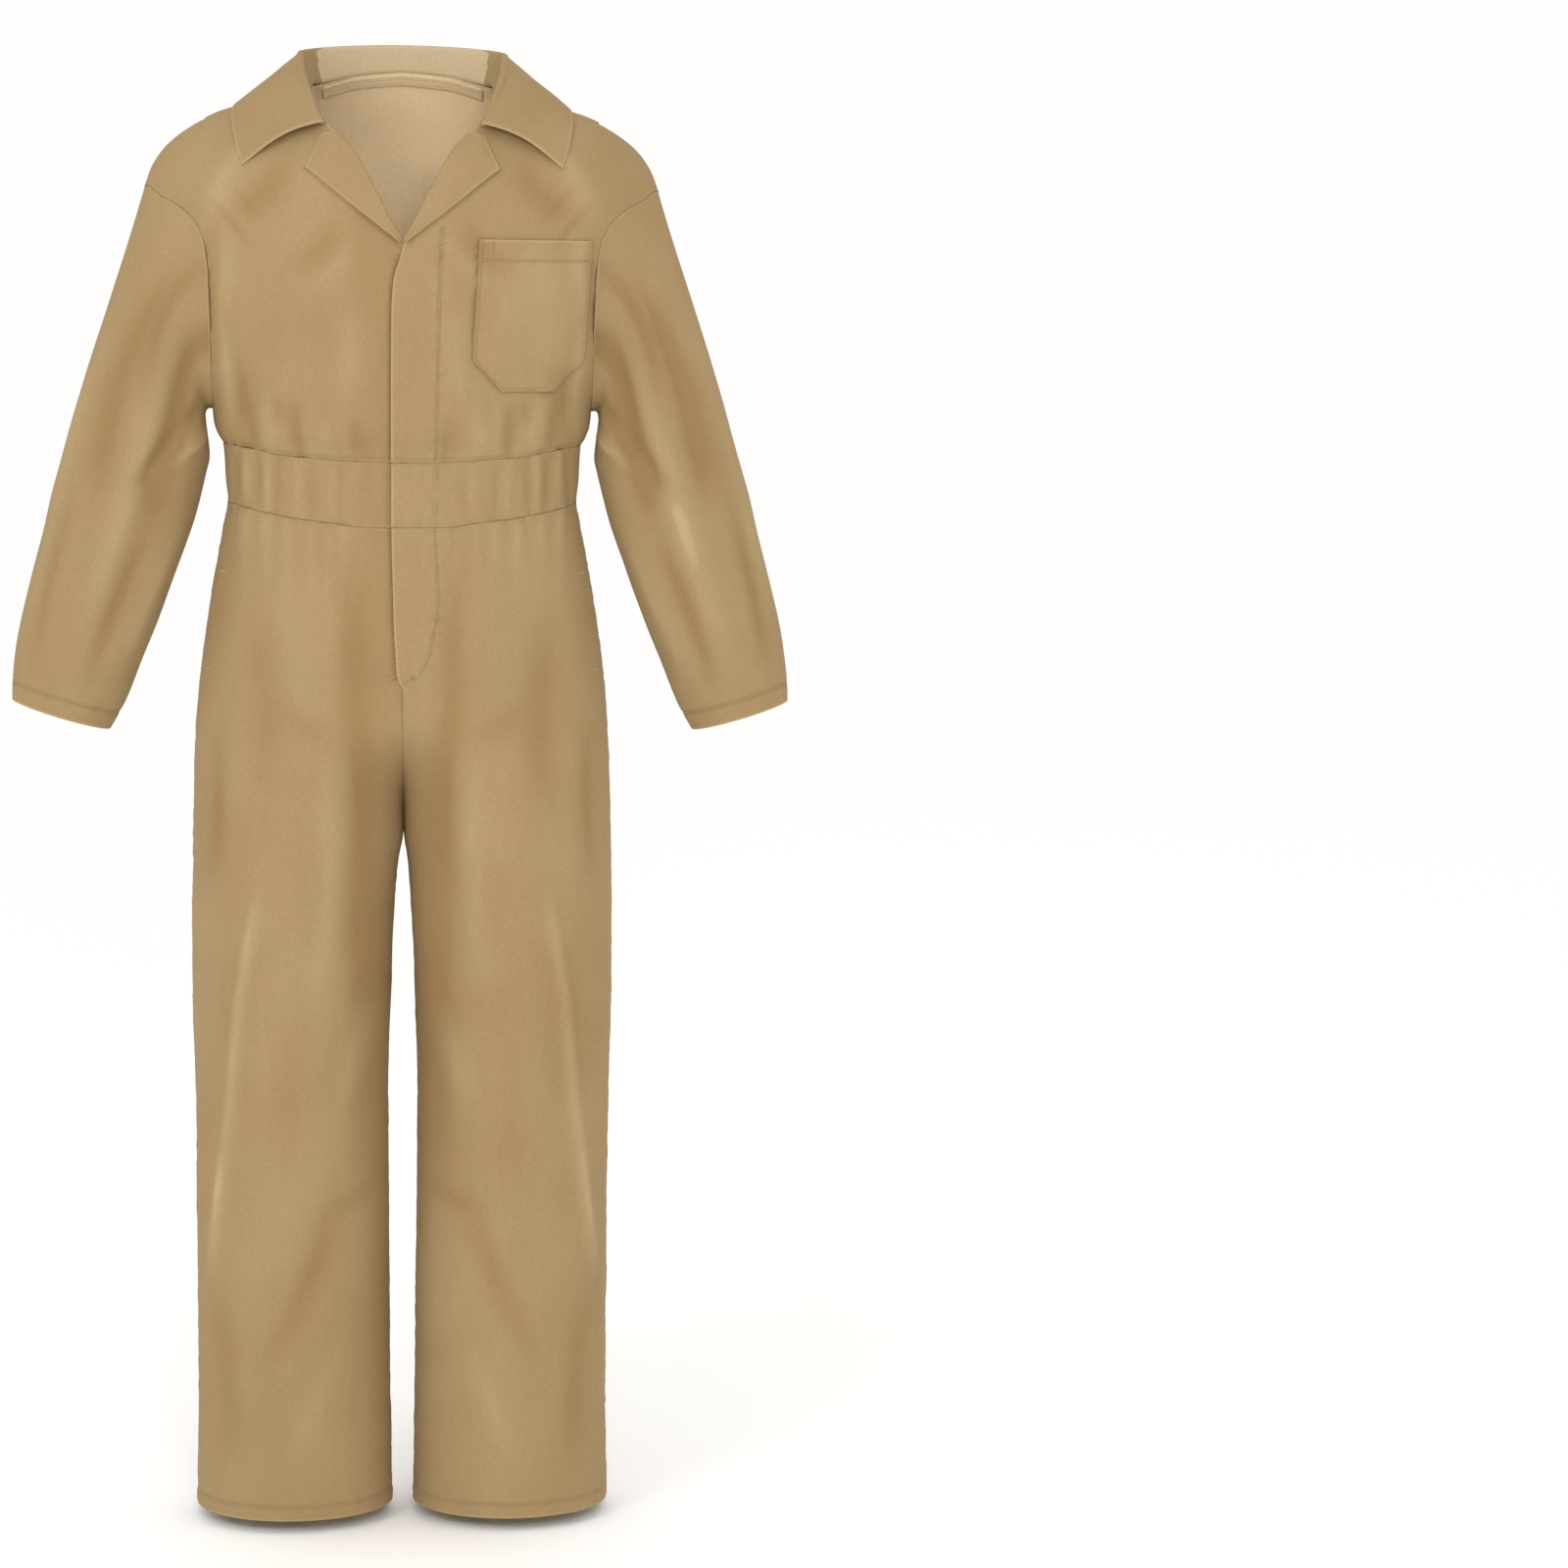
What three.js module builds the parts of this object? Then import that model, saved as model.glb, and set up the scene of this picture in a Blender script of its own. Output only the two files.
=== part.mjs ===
// A boiler suit, filled out as it hangs on a wearer, hollow and open at neck, cuffs and hems.
// Millimetres, +Z up, the front faces -Y and the wearer's left is +X.
// The origin lies on the suit's middle line, level with the base of the neck.
//
// Each cut piece is a closed wall of cloth. A piece is worked out as rows of places on the suit's
// outer surface, and each place has a point and the direction that faces away from the wearer.
import * as THREE from 'three';

// Cloth, seams and layers
const CLOTH = 1.5;
const COLLAR_CLOTH = 1.8;
const TAPE_CLOTH = 1.0;
const HALF_SEAM = 0.15;
const LAYER_GAP = 0.5;
const ON_PANEL = LAYER_GAP + CLOTH;

// Main heights
const UNDERARM_X = 190;
const UNDERARM_Z = -310;
const FLY_END_Z = -574;
const RISE_TOP_Z = -585;
const CROTCH_Z = -735;
const HEM_Z = -1437;

// How far down the front and back take to round over from the shoulder ridge to full depth
const SHOULDER_ROUND = 120;

// The front edge of the left side laps over the right side, which runs on below it
const UNDERLAP = 34;
const UNDERLAP_INSET = 2.3;
const UNDERLAP_FULL = 30;
const UNDERLAP_FADE = 62;
const LAP_INSET_FROM_Z = -84;
const LAP_INSET_FULL_Z = -118;

// The back pleats: how far the side panels run in below the middle panel
const PLEAT_UNDERLAP = 22;
const PLEAT_RAISE = 1.5;
const PLEAT_SINK = 1.3;

const CLOTH_LOOK = { color: 0xaf9768, roughness: 0.86, metalness: 0 };
const TAPE_LOOK = { color: 0xb39c6e, roughness: 0.82, metalness: 0 };

function clamp(value, low, high) {
  return Math.min(high, Math.max(low, value));
}

function mix(from, to, share) {
  return from + (to - from) * share;
}

function smoothstep(from, to, value) {
  const share = clamp((value - from) / (to - from), 0, 1);
  return share * share * (3 - 2 * share);
}

// A table with named columns. The first column rises, and read() gives another column at a place
// on it, along a smooth curve that never overshoots its rows.
function table(columns, rows) {
  const sorted = [...rows].sort((a, b) => a[0] - b[0]);
  const keys = sorted.map((row) => row[0]);
  function read(name, at) {
    const values = sorted.map((row) => row[columns.indexOf(name)]);
    const last = keys.length - 1;
    if (at <= keys[0]) return values[0];
    if (at >= keys[last]) return values[last];
    let low = 0;
    while (keys[low + 1] < at) low += 1;
    const step = (i) => (values[i + 1] - values[i]) / (keys[i + 1] - keys[i]);
    const slope = (i) => {
      if (i === 0) return step(0);
      if (i === last) return step(last - 1);
      const before = step(i - 1);
      const after = step(i);
      return before * after <= 0 ? 0 : (2 * before * after) / (before + after);
    };
    const width = keys[low + 1] - keys[low];
    const k = (at - keys[low]) / width;
    const start = slope(low) * width;
    const end = slope(low + 1) * width;
    return values[low] * (1 + 2 * k) * (1 - k) ** 2 + start * k * (1 - k) ** 2
      + values[low + 1] * k * k * (3 - 2 * k) + end * k * k * (k - 1);
  }
  return { read, rows: sorted };
}

// Level sections of the whole suit. Above the underarm the half width is where the section would
// end if the sleeve did not take over. Below the crotch each leg runs from inner to halfWidth.
const SECTIONS = table(['z', 'inner', 'halfWidth', 'front', 'back'], [
  [60, 0, 270, 92, 84],
  [0, 0, 288, 102, 95],
  [-60, 0, 288, 112, 107],
  [-100, 0, 270, 117, 111],
  [-140, 0, 247, 119, 112],
  [-200, 0, 229, 120, 110],
  [-255, 0, 210, 119, 106],
  [-290, 0, 197, 118, 102],
  [-310, 0, 190.5, 117, 99],
  [-325, 0, 189, 116, 97],
  [-335, 0, 185, 113, 93],
  [-344, 0, 179.5, 108, 88],
  [-358, 0, 178.5, 104, 84],
  [-380, 0, 177.5, 102, 82],
  [-400, 0, 175.5, 102, 82],
  [-420, 0, 179, 104, 86],
  [-440, 0, 182.5, 107, 95],
  [-490, 0, 191.7, 110, 109],
  [-530, 0, 198.3, 110, 116],
  [-570, 0, 203.6, 109, 119],
  [-610, 0, 207.3, 107, 119],
  [-650, 0, 209.5, 106, 117],
  [-690, 0, 211.2, 105, 113],
  [-735, 0.3, 212.5, 105, 110],
  [-771, 5, 213, 105, 110],
  [-811, 8, 213.4, 103, 108],
  [-893, 12, 213.9, 99, 103],
  [-1015, 14.6, 211.5, 94, 96],
  [-1138, 14.1, 210.7, 91, 92],
  [-1305, 12.7, 210.2, 88, 88],
  [-1437, 10.7, 211.5, 86, 86],
]);

// The shoulder ridge, where front and back meet. Inside the neck opening it is only a guide.
const SHOULDER = table(['x', 'z'], [
  [0, 78],
  [30, 72],
  [55, 52],
  [75, 28],
  [90, 13],
  [120, 4],
  [150, -4],
  [178, -13],
  [196, -21],
  [207, -27],
  [233, -46],
  [248, -66],
  [257, -89],
  [264, -112],
]);

// Top edge of the back: the neck edge, and then the shoulder seam
const BACK_TOP = table(['x', 'z'], [
  [0, 31],
  [48, 26],
  [75, 18],
  [90, 13],
  [120, 4],
  [150, -4],
  [178, -13],
  [196, -21],
  [207, -27],
  [233, -46],
  [248, -66],
  [257, -89],
]);

const WAIST_TOP = table(['x', 'z'], [
  [0, -358],
  [40, -357.5],
  [86, -354.5],
  [107, -353.5],
  [144, -348],
  [178, -343],
]);

const WAIST_BOTTOM = table(['x', 'z'], [
  [0, -422],
  [40, -421.5],
  [78, -417],
  [106, -414],
  [144, -408],
  [174, -402],
]);

// Edges on the outline of a flat pattern piece, as seen from the front
const ARMHOLE = [
  [257, -89],
  [240, -97],
  [220, -108],
  [203, -124],
  [195.5, -142],
  [192.5, -165],
  [191, -195],
  [190.2, -250],
  [190, -285],
  [UNDERARM_X, UNDERARM_Z],
];

const NECK_EDGE = [
  [90, 13],
  [88, 2],
  [84, -11],
  [77, -29],
  [62, -46],
  [43, -67],
  [23, -108],
  [2, -141],
];

const LAP_EDGE = [
  [-3, -158],
  [-7, -170],
  [-9.5, -183],
  [-11, -211],
  [-11.5, -288],
  [-11.5, -358],
];

const UNDERLAP_EDGE = [
  [-8, -154],
  [-20, -170],
  [-31, -192],
  [-UNDERLAP, -225],
  [-UNDERLAP, -358],
];

const PLEAT_EDGE = [
  [196, -21],
  [193, -34],
  [183, -117],
  [173, -165],
  [161, -222],
  [151, -271],
  [144, -310],
  [137.5, -352],
];

// Left fly edge and right fly underlap below the waist, measured across the middle line
const FLY_EDGE = table(['z', 'lap', 'under'], [
  [-400, 10.8, 34],
  [-422, 10.6, 34],
  [-520, 8.7, 33],
  [-548, 7, 27],
  [-567, 5.8, 12],
  [FLY_END_Z, 4, 2],
  [-582, -HALF_SEAM, -HALF_SEAM],
]);

// Soft folds. Each is a straight line on the cloth that fades at its ends, seen from the front for
// the body and unrolled for a sleeve. A height above zero is a ridge and one below is a trough.
const FOLD = ['fromX', 'fromZ', 'toX', 'toZ', 'halfWidth', 'height'];

function folds(rows) {
  return rows.map((row) => Object.fromEntries(FOLD.map((name, i) => [name, row[i]])));
}

const FRONT_FOLDS = folds([
  [148, -352, 163, -262, 12, -3.2],
  [103, -356, 108, -296, 10, -2.4],
  [170, -330, 184, -210, 9, 2.4],
  [40, -356, 52, -310, 11, -1.8],
  [128, -352, 134, -300, 9, 2.6],
  [112, -60, 168, -120, 16, -2.2],
]);

const BACK_FOLDS = folds([
  [60, -356, 52, -290, 12, -2.6],
  [22, -357, 30, -310, 10, -1.8],
  [98, -356, 92, -300, 11, 2.4],
  [118, -80, 60, -130, 24, -2],
]);

const BACK_SIDE_FOLDS = folds([
  [163, -240, 157, -352, 6, -5],
  [171, -285, 168, -350, 7, 3.4],
  [180, -230, 186, -330, 7, -2.4],
]);

const TROUSER_FRONT_FOLDS = folds([
  [46, -600, 30, -770, 13, -5],
  [146, -800, 166, -895, 12, 3.2],
  [166, -895, 178, -1030, 12, 3.4],
  [178, -1030, 196, -1180, 11, 3],
  [52, -1060, 138, -1265, 20, -4],
  [62, -1250, 120, -1380, 15, 2.6],
  [60, -640, 128, -590, 16, -2.6],
  [30, -900, 60, -1010, 14, 2.4],
]);

const TROUSER_BACK_FOLDS = folds([
  [22, -735, 112, -782, 13, -5.5],
  [26, -775, 96, -842, 14, 3.4],
  [24, -860, 60, -1000, 12, 3.2],
  [60, -1000, 92, -1260, 13, 3.4],
  [182, -790, 180, -1060, 11, 3],
  [150, -880, 120, -1120, 20, -3.4],
  [40, -1120, 110, -1330, 16, -3],
]);

// Along x: degrees from the outer side of the sleeve towards the front. Along z: down the sleeve.
const SLEEVE_FOLDS = folds([
  [128, -205, 118, -420, 15, -5],
  [104, -250, 92, -545, 13, 3.6],
  [60, -170, 68, -400, 17, -3.4],
  [150, -300, 96, -392, 11, -4],
  [150, -420, 138, -570, 14, 3],
  [24, -200, 30, -520, 16, 2.6],
  [-52, -190, -60, -430, 17, -4],
  [-98, -260, -90, -540, 14, 3.8],
  [-132, -300, -122, -470, 14, -4.4],
  [-20, -330, -24, -560, 13, -2.6],
]);

// Gathers that a waist seam or an elastic draws in. They start at the seam and run away from it.
const GATHER = ['x', 'halfWidth', 'reach', 'height'];

function gathers(rows) {
  return rows.map((row) => Object.fromEntries(GATHER.map((name, i) => [name, row[i]])));
}

const FRONT_GATHERS = gathers([
  [58, 5, 22, 1.6],
  [74, 5, 30, 2],
  [92, 6, 26, 2.4],
  [115, 6, 34, 3],
  [138, 6, 30, 3],
  [158, 6, 36, 3.2],
]);

const BACK_GATHERS = gathers([
  [104, 6, 34, 2.2],
  [122, 6, 48, 2.8],
  [138, 5, 66, 3.6],
  [149, 4.5, 80, 3.6],
  [159, 4, 70, 3.4],
  [168, 3.6, 84, 3],
]);

const ELASTIC_RIBS = 8;
const ELASTIC_RIB_HEIGHT = 1.5;

function foldRelief(list, x, z) {
  let height = 0;
  for (const fold of list) {
    const runX = fold.toX - fold.fromX;
    const runZ = fold.toZ - fold.fromZ;
    const along = ((x - fold.fromX) * runX + (z - fold.fromZ) * runZ) / (runX ** 2 + runZ ** 2);
    const onLine = clamp(along, 0, 1);
    const away = Math.hypot(x - fold.fromX - onLine * runX, z - fold.fromZ - onLine * runZ);
    const fade = Math.sin(Math.PI * clamp(along, 0.02, 0.98)) ** 0.6;
    height += fold.height * fade * Math.exp(-((away / fold.halfWidth) ** 2));
  }
  return height;
}

function gatherRelief(list, x, fromSeam) {
  let height = 0;
  for (const gather of list) {
    const rise = 1 - Math.exp(-fromSeam / 7);
    const fall = Math.exp(-fromSeam / gather.reach);
    height += gather.height * rise * fall * Math.exp(-(((x - gather.x) / gather.halfWidth) ** 2));
  }
  return height;
}

// The body above the waist: depth from front to back at a place seen from the front
function shoulderRound(drop) {
  const open = 1 - Math.min(1, drop / SHOULDER_ROUND);
  return 1 - open * open;
}

function bodyDepth(x, z, side) {
  const across = 1 - (x / SECTIONS.read('halfWidth', z)) ** 2;
  const over = shoulderRound(SHOULDER.read('z', Math.abs(x)) - z);
  return SECTIONS.read(side, z) * Math.sqrt(Math.max(0, across) * Math.max(0, over));
}

// Below zero inside the body's surface, above zero outside it
function bodyField(x, y, z) {
  const side = y < 0 ? 'front' : 'back';
  const across = 1 - (x / SECTIONS.read('halfWidth', z)) ** 2;
  const over = shoulderRound(SHOULDER.read('z', Math.abs(x)) - z);
  return (y / SECTIONS.read(side, z)) ** 2 - across * over;
}

function bodySlope(point) {
  const step = 0.5;
  const { x, y, z } = point;
  return new THREE.Vector3(
    bodyField(x + step, y, z) - bodyField(x - step, y, z),
    bodyField(x, y + step, z) - bodyField(x, y - step, z),
    bodyField(x, y, z + step) - bodyField(x, y, z - step),
  ).divideScalar(2 * step);
}

function place(point, normal, raised = 0) {
  return { point: point.clone().addScaledVector(normal, raised), normal };
}

function bodyPlace(x, z, side, raised = 0) {
  const depth = Math.max(HALF_SEAM, bodyDepth(x, z, side));
  const point = new THREE.Vector3(x, side === 'front' ? -depth : depth, z);
  return place(point, bodySlope(point).normalize(), raised);
}

// Moves a point out of the body until it is that far from the body's surface
function clearOfBody(point, distance) {
  const moved = point.clone();
  for (let pass = 0; pass < 4; pass += 1) {
    const slope = bodySlope(moved);
    const gap = bodyField(moved.x, moved.y, moved.z) / slope.length();
    if (gap < distance) moved.addScaledVector(slope.normalize(), distance - gap);
  }
  return moved;
}

function mirrored(rows) {
  return rows.map((row) => row.map(({ point, normal }) => ({
    point: new THREE.Vector3(-point.x, point.y, point.z),
    normal: new THREE.Vector3(-normal.x, normal.y, normal.z),
  })));
}

// A closed wall from rows of places. A row has as many steps as the row before it, or half or twice
// as many. Both faces share their pattern, and a rim closes every free edge.
function wallGeometry(rows, thickness, closed) {
  const starts = [];
  const places = [];
  for (const row of rows) {
    starts.push(places.length);
    places.push(...row);
  }
  const triangles = [];
  const steps = (row) => (closed ? row.length : row.length - 1);
  const at = (i, j) => starts[i] + (closed ? j % rows[i].length : j);
  for (let i = 0; i + 1 < rows.length; i += 1) {
    const upper = steps(rows[i]);
    const lower = steps(rows[i + 1]);
    const cells = Math.min(upper, lower);
    for (let j = 0; j < cells; j += 1) {
      if (upper === lower) {
        triangles.push([at(i, j), at(i + 1, j), at(i + 1, j + 1)]);
        triangles.push([at(i, j), at(i + 1, j + 1), at(i, j + 1)]);
      } else if (upper > lower) {
        triangles.push([at(i, 2 * j), at(i + 1, j), at(i, 2 * j + 1)]);
        triangles.push([at(i, 2 * j + 1), at(i + 1, j), at(i + 1, j + 1)]);
        triangles.push([at(i, 2 * j + 1), at(i + 1, j + 1), at(i, 2 * j + 2)]);
      } else {
        triangles.push([at(i, j), at(i + 1, 2 * j), at(i + 1, 2 * j + 1)]);
        triangles.push([at(i, j), at(i + 1, 2 * j + 1), at(i, j + 1)]);
        triangles.push([at(i, j + 1), at(i + 1, 2 * j + 1), at(i + 1, 2 * j + 2)]);
      }
    }
  }
  let facing = 0;
  for (const [a, b, c] of triangles) {
    const ab = places[b].point.clone().sub(places[a].point);
    const ac = places[c].point.clone().sub(places[a].point);
    facing += ab.cross(ac).dot(places[a].normal);
  }
  if (facing < 0) triangles.forEach((triangle) => triangle.reverse());
  const count = places.length;
  const edges = new Map();
  for (const [a, b, c] of triangles) {
    for (const [from, to] of [[a, b], [b, c], [c, a]]) edges.set(`${from} ${to}`, [from, to]);
  }
  const index = triangles.flat();
  for (const [a, b, c] of triangles) index.push(c + count, b + count, a + count);
  for (const [from, to] of edges.values()) {
    if (edges.has(`${to} ${from}`)) continue;
    index.push(to, from, from + count, to, from + count, to + count);
  }
  const positions = places.flatMap(({ point }) => point.toArray());
  for (const { point, normal } of places) {
    positions.push(...point.clone().addScaledVector(normal, -thickness).toArray());
  }
  const geometry = new THREE.BufferGeometry();
  geometry.setAttribute('position', new THREE.Float32BufferAttribute(positions, 3));
  geometry.setIndex(index);
  geometry.computeVertexNormals();
  return geometry;
}

const suit = new THREE.Group();

function addPiece(name, rows, { thickness = CLOTH, closed = false, look = CLOTH_LOOK } = {}) {
  const material = new THREE.MeshStandardMaterial(look);
  const mesh = new THREE.Mesh(wallGeometry(rows, thickness, closed), material);
  mesh.name = name;
  suit.add(mesh);
}

function steps(count, from = 0, to = 1) {
  return Array.from({ length: count + 1 }, (_, i) => mix(from, to, i / count));
}

// Bodice. A row lies at one share of the way from the top edge to the waist seam.
const BODICE_ROWS = [0, 0.016, 0.06, 0.13, 0.22, 0.31, 0.39, 0.47, 0.56, 0.65, 0.73, 0.8, 0.855];
const BODICE_LOW_ROWS = [0.93, 0.965, 1];
const BODICE_STEPS = 11;
const BACK_STEPS = 16;
const BACK_SIDE_STEPS = 6;

function shareDown(top, x, z) {
  const high = top.read('z', Math.abs(x));
  return (high - z) / (high - WAIST_TOP.read('z', Math.abs(x)));
}

function edgeByShare(top, edge) {
  return table(['share', 'x'], edge.map(([x, z]) => [shareDown(top, x, z), x]));
}

function heightAt(top, x, share) {
  const z = mix(top.read('z', Math.abs(x)), WAIST_TOP.read('z', Math.abs(x)), share);
  return share === 1 ? z + HALF_SEAM : z;
}

const UNDERARM_SHARE = shareDown(SHOULDER, UNDERARM_X, UNDERARM_Z);
const ARMHOLE_BY_SHARE = edgeByShare(SHOULDER, ARMHOLE);
const ROWS_TO_UNDERARM = [...BODICE_ROWS, UNDERARM_SHARE];

function outerEdgeX(share) {
  if (share <= UNDERARM_SHARE) return ARMHOLE_BY_SHARE.read('x', share);
  let x = UNDERARM_X;
  for (let pass = 0; pass < 6; pass += 1) {
    x = SECTIONS.read('halfWidth', heightAt(SHOULDER, x, share));
  }
  return x;
}

function bodiceRow(top, side, share, count, fromX, toX, raise) {
  return steps(count).map((t) => {
    const x = mix(fromX, toX, Math.sin((t * Math.PI) / 2));
    const z = heightAt(top, x, share);
    return bodyPlace(x, z, side, raise(x, z));
  });
}

// The right side sinks below the left where the two lap
function lapInset(x, z) {
  const across = smoothstep(UNDERLAP_FADE, UNDERLAP_FULL, x);
  return -UNDERLAP_INSET * across * smoothstep(LAP_INSET_FROM_Z, LAP_INSET_FULL_Z, z);
}

function frontRelief(x, z) {
  const fromMiddle = Math.abs(x);
  const fromSeam = z - WAIST_TOP.read('z', fromMiddle);
  return foldRelief(FRONT_FOLDS, fromMiddle, z)
    + gatherRelief(FRONT_GATHERS, fromMiddle, fromSeam);
}

function bodiceFront(edge, raise) {
  const inner = edgeByShare(SHOULDER, [...NECK_EDGE, ...edge]);
  const row = (count) => (share) => bodiceRow(
    SHOULDER, 'front', share, count, inner.read('x', share), outerEdgeX(share), raise,
  );
  return [
    ...ROWS_TO_UNDERARM.map(row(BODICE_STEPS)),
    ...BODICE_LOW_ROWS.map(row(2 * BODICE_STEPS)),
  ];
}

addPiece('bodice_front_left', bodiceFront(LAP_EDGE, frontRelief));
addPiece('bodice_front_right', mirrored(bodiceFront(
  UNDERLAP_EDGE,
  (x, z) => frontRelief(x, z) + lapInset(x, z),
)));

const PLEAT_BY_SHARE = edgeByShare(BACK_TOP, PLEAT_EDGE);

function backRelief(x, z) {
  const fromSeam = z - WAIST_TOP.read('z', Math.abs(x));
  return foldRelief(BACK_FOLDS, Math.abs(x), z) + gatherRelief(BACK_GATHERS, Math.abs(x), fromSeam);
}

function backMiddleRow(count) {
  return (share) => steps(count, -1, 1).map((t) => {
    const edgeX = PLEAT_BY_SHARE.read('x', share);
    const x = t * edgeX;
    const z = heightAt(BACK_TOP, x, share);
    const raise = PLEAT_RAISE * smoothstep(edgeX - 45, edgeX - 8, Math.abs(x));
    return bodyPlace(x, z, 'back', raise + backRelief(x, z));
  });
}

addPiece('bodice_back', [
  ...ROWS_TO_UNDERARM.map(backMiddleRow(BACK_STEPS)),
  ...BODICE_LOW_ROWS.map(backMiddleRow(2 * BACK_STEPS)),
]);

function backSideRow(count) {
  return (share) => {
    const edgeX = PLEAT_BY_SHARE.read('x', share);
    const sink = (x, z) => {
      const under = smoothstep(edgeX + 14, edgeX + 2, x);
      return -PLEAT_SINK * under + foldRelief(BACK_SIDE_FOLDS, x, z) * (1 - under);
    };
    return bodiceRow(
      SHOULDER, 'back', share, count, edgeX - PLEAT_UNDERLAP, outerEdgeX(share), sink,
    );
  };
}

const BACK_SIDE = [
  ...ROWS_TO_UNDERARM.map(backSideRow(BACK_SIDE_STEPS)),
  ...BODICE_LOW_ROWS.map(backSideRow(2 * BACK_SIDE_STEPS)),
];
addPiece('bodice_back_side_left', BACK_SIDE);
addPiece('bodice_back_side_right', mirrored(BACK_SIDE));

// Sleeve. Its first ring is the armhole edge of front and back, and the others are ellipses across
// the arm. A tilt turns the outer side of a ring up.
const SLEEVE = table(['z', 'x', 'halfWidth', 'halfDepth', 'tilt'], [
  [-345, 263, 71, 60, 15],
  [-400, 278, 72, 58, 15],
  [-450, 293, 69.5, 55, 16],
  [-500, 309, 67, 52, 16],
  [-550, 325, 63, 49, 16],
  [-590, 336, 58, 45, 16.5],
  [-618, 344, 51, 41, 17],
]);
const SLEEVE_TOP_Z = -345;
const CUFF_Z = -618;
const CAP_ROWS = [0.13, 0.28, 0.45, 0.63, 0.82];
const SLEEVE_ROWS = [-345, -378, -412, -448, -486, -524, -562, -594, CUFF_Z];

function armholeRing() {
  const front = ROWS_TO_UNDERARM.map((share) => {
    const x = outerEdgeX(share);
    return bodyPlace(x, heightAt(SHOULDER, x, share), 'front');
  });
  const back = ROWS_TO_UNDERARM.map((share) => {
    const x = outerEdgeX(share);
    return bodyPlace(x, heightAt(SHOULDER, x, share), 'back');
  });
  const top = front[0];
  const bottom = front[front.length - 1];
  top.point.y = 0;
  bottom.point.y = 0;
  return [top, ...front.slice(1, -1), bottom, ...back.slice(1, -1).reverse()];
}

// Turn round the sleeve for each place of the armhole, from its outer side over the front
function ringTurns(ring) {
  const half = (ring.length) / 2;
  const lengths = [0];
  for (let i = 1; i <= half; i += 1) {
    lengths.push(lengths[i - 1] + ring[i].point.distanceTo(ring[i - 1].point));
  }
  const front = lengths.map((length) => (Math.PI * length) / lengths[half]);
  const back = front.slice(1, -1).reverse().map((turn) => 2 * Math.PI - turn);
  return [...front, ...back];
}

function sleeveEllipse(turn, z) {
  const tilt = THREE.MathUtils.degToRad(SLEEVE.read('tilt', z));
  const out = SLEEVE.read('halfWidth', z) * Math.cos(turn);
  return new THREE.Vector3(
    SLEEVE.read('x', z) + out * Math.cos(tilt),
    -SLEEVE.read('halfDepth', z) * Math.sin(turn),
    z + out * Math.sin(tilt),
  );
}

// Direction down the arm at a height
function armDirection(z) {
  const step = 4;
  const run = SLEEVE.read('x', z - step) - SLEEVE.read('x', z + step);
  return new THREE.Vector3(run, 0, -2 * step).normalize();
}

const ARMHOLE_RING = armholeRing();
const ARMHOLE_TURNS = ringTurns(ARMHOLE_RING);
const ARM_TOP = armDirection(SLEEVE_TOP_Z - 10);

// Direction in which the sleeve leaves the armhole at each place of the ring
const ARMHOLE_OUT = ARMHOLE_RING.map(({ normal }, i) => {
  const count = ARMHOLE_RING.length;
  const after = ARMHOLE_RING[(i + 1) % count].point;
  const before = ARMHOLE_RING[(i + count - 1) % count].point;
  const out = after.clone().sub(before).cross(normal).normalize();
  return out.x < 0 || (Math.abs(out.x) < 0.2 && out.z > 0) ? out.negate() : out;
});

function capPoint(i, share) {
  const start = ARMHOLE_RING[i].point.clone().addScaledVector(ARMHOLE_OUT[i], 2 * HALF_SEAM);
  const end = sleeveEllipse(ARMHOLE_TURNS[i], SLEEVE_TOP_Z);
  const length = start.distanceTo(end);
  const leave = ARMHOLE_OUT[i].clone().multiplyScalar(0.8);
  leave.addScaledVector(ARM_TOP, 0.6).normalize();
  const k = share;
  return start.multiplyScalar((1 + 2 * k) * (1 - k) ** 2)
    .addScaledVector(leave, length * k * (1 - k) ** 2)
    .addScaledVector(end, k * k * (3 - 2 * k))
    .addScaledVector(ARM_TOP, length * k * k * (k - 1));
}

function sleeveRelief(turn, z) {
  const degrees = THREE.MathUtils.radToDeg(turn);
  const around = degrees > 180 ? degrees - 360 : degrees;
  return foldRelief(SLEEVE_FOLDS, around, z);
}

// Normals of a closed ring surface from its neighbours, facing away from the ring's middle
function ringPlaces(rings, index, raise) {
  const ring = rings[index];
  const before = rings[Math.max(0, index - 1)];
  const after = rings[Math.min(rings.length - 1, index + 1)];
  const middle = new THREE.Vector3();
  ring.forEach((point) => middle.addScaledVector(point, 1 / ring.length));
  return ring.map((point, j) => {
    const count = ring.length;
    const around = ring[(j + 1) % count].clone().sub(ring[(j + count - 1) % count]);
    const normal = around.cross(after[j].clone().sub(before[j])).normalize();
    if (normal.dot(point.clone().sub(middle)) < 0) normal.negate();
    return place(point, normal, raise(j, point));
  });
}

function sleeve() {
  const rings = [
    ARMHOLE_RING.map((_, i) => capPoint(i, 0)),
    ...CAP_ROWS.map((share) => ARMHOLE_RING.map((_, i) => capPoint(i, share))),
    ...SLEEVE_ROWS.map((z) => ARMHOLE_TURNS.map((turn) => sleeveEllipse(turn, z))),
  ];
  const fade = (z) => smoothstep(-100, -190, z) * smoothstep(CUFF_Z - 14, CUFF_Z + 30, z);
  const rows = rings.map((_, index) => ringPlaces(rings, index, (j, point) => {
    if (index < 2) return 0;
    return sleeveRelief(ARMHOLE_TURNS[j], point.z) * fade(point.z);
  }));
  rows[0] = rings[0].map((point, i) => place(point, ARMHOLE_RING[i].normal));
  return rows;
}

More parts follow.
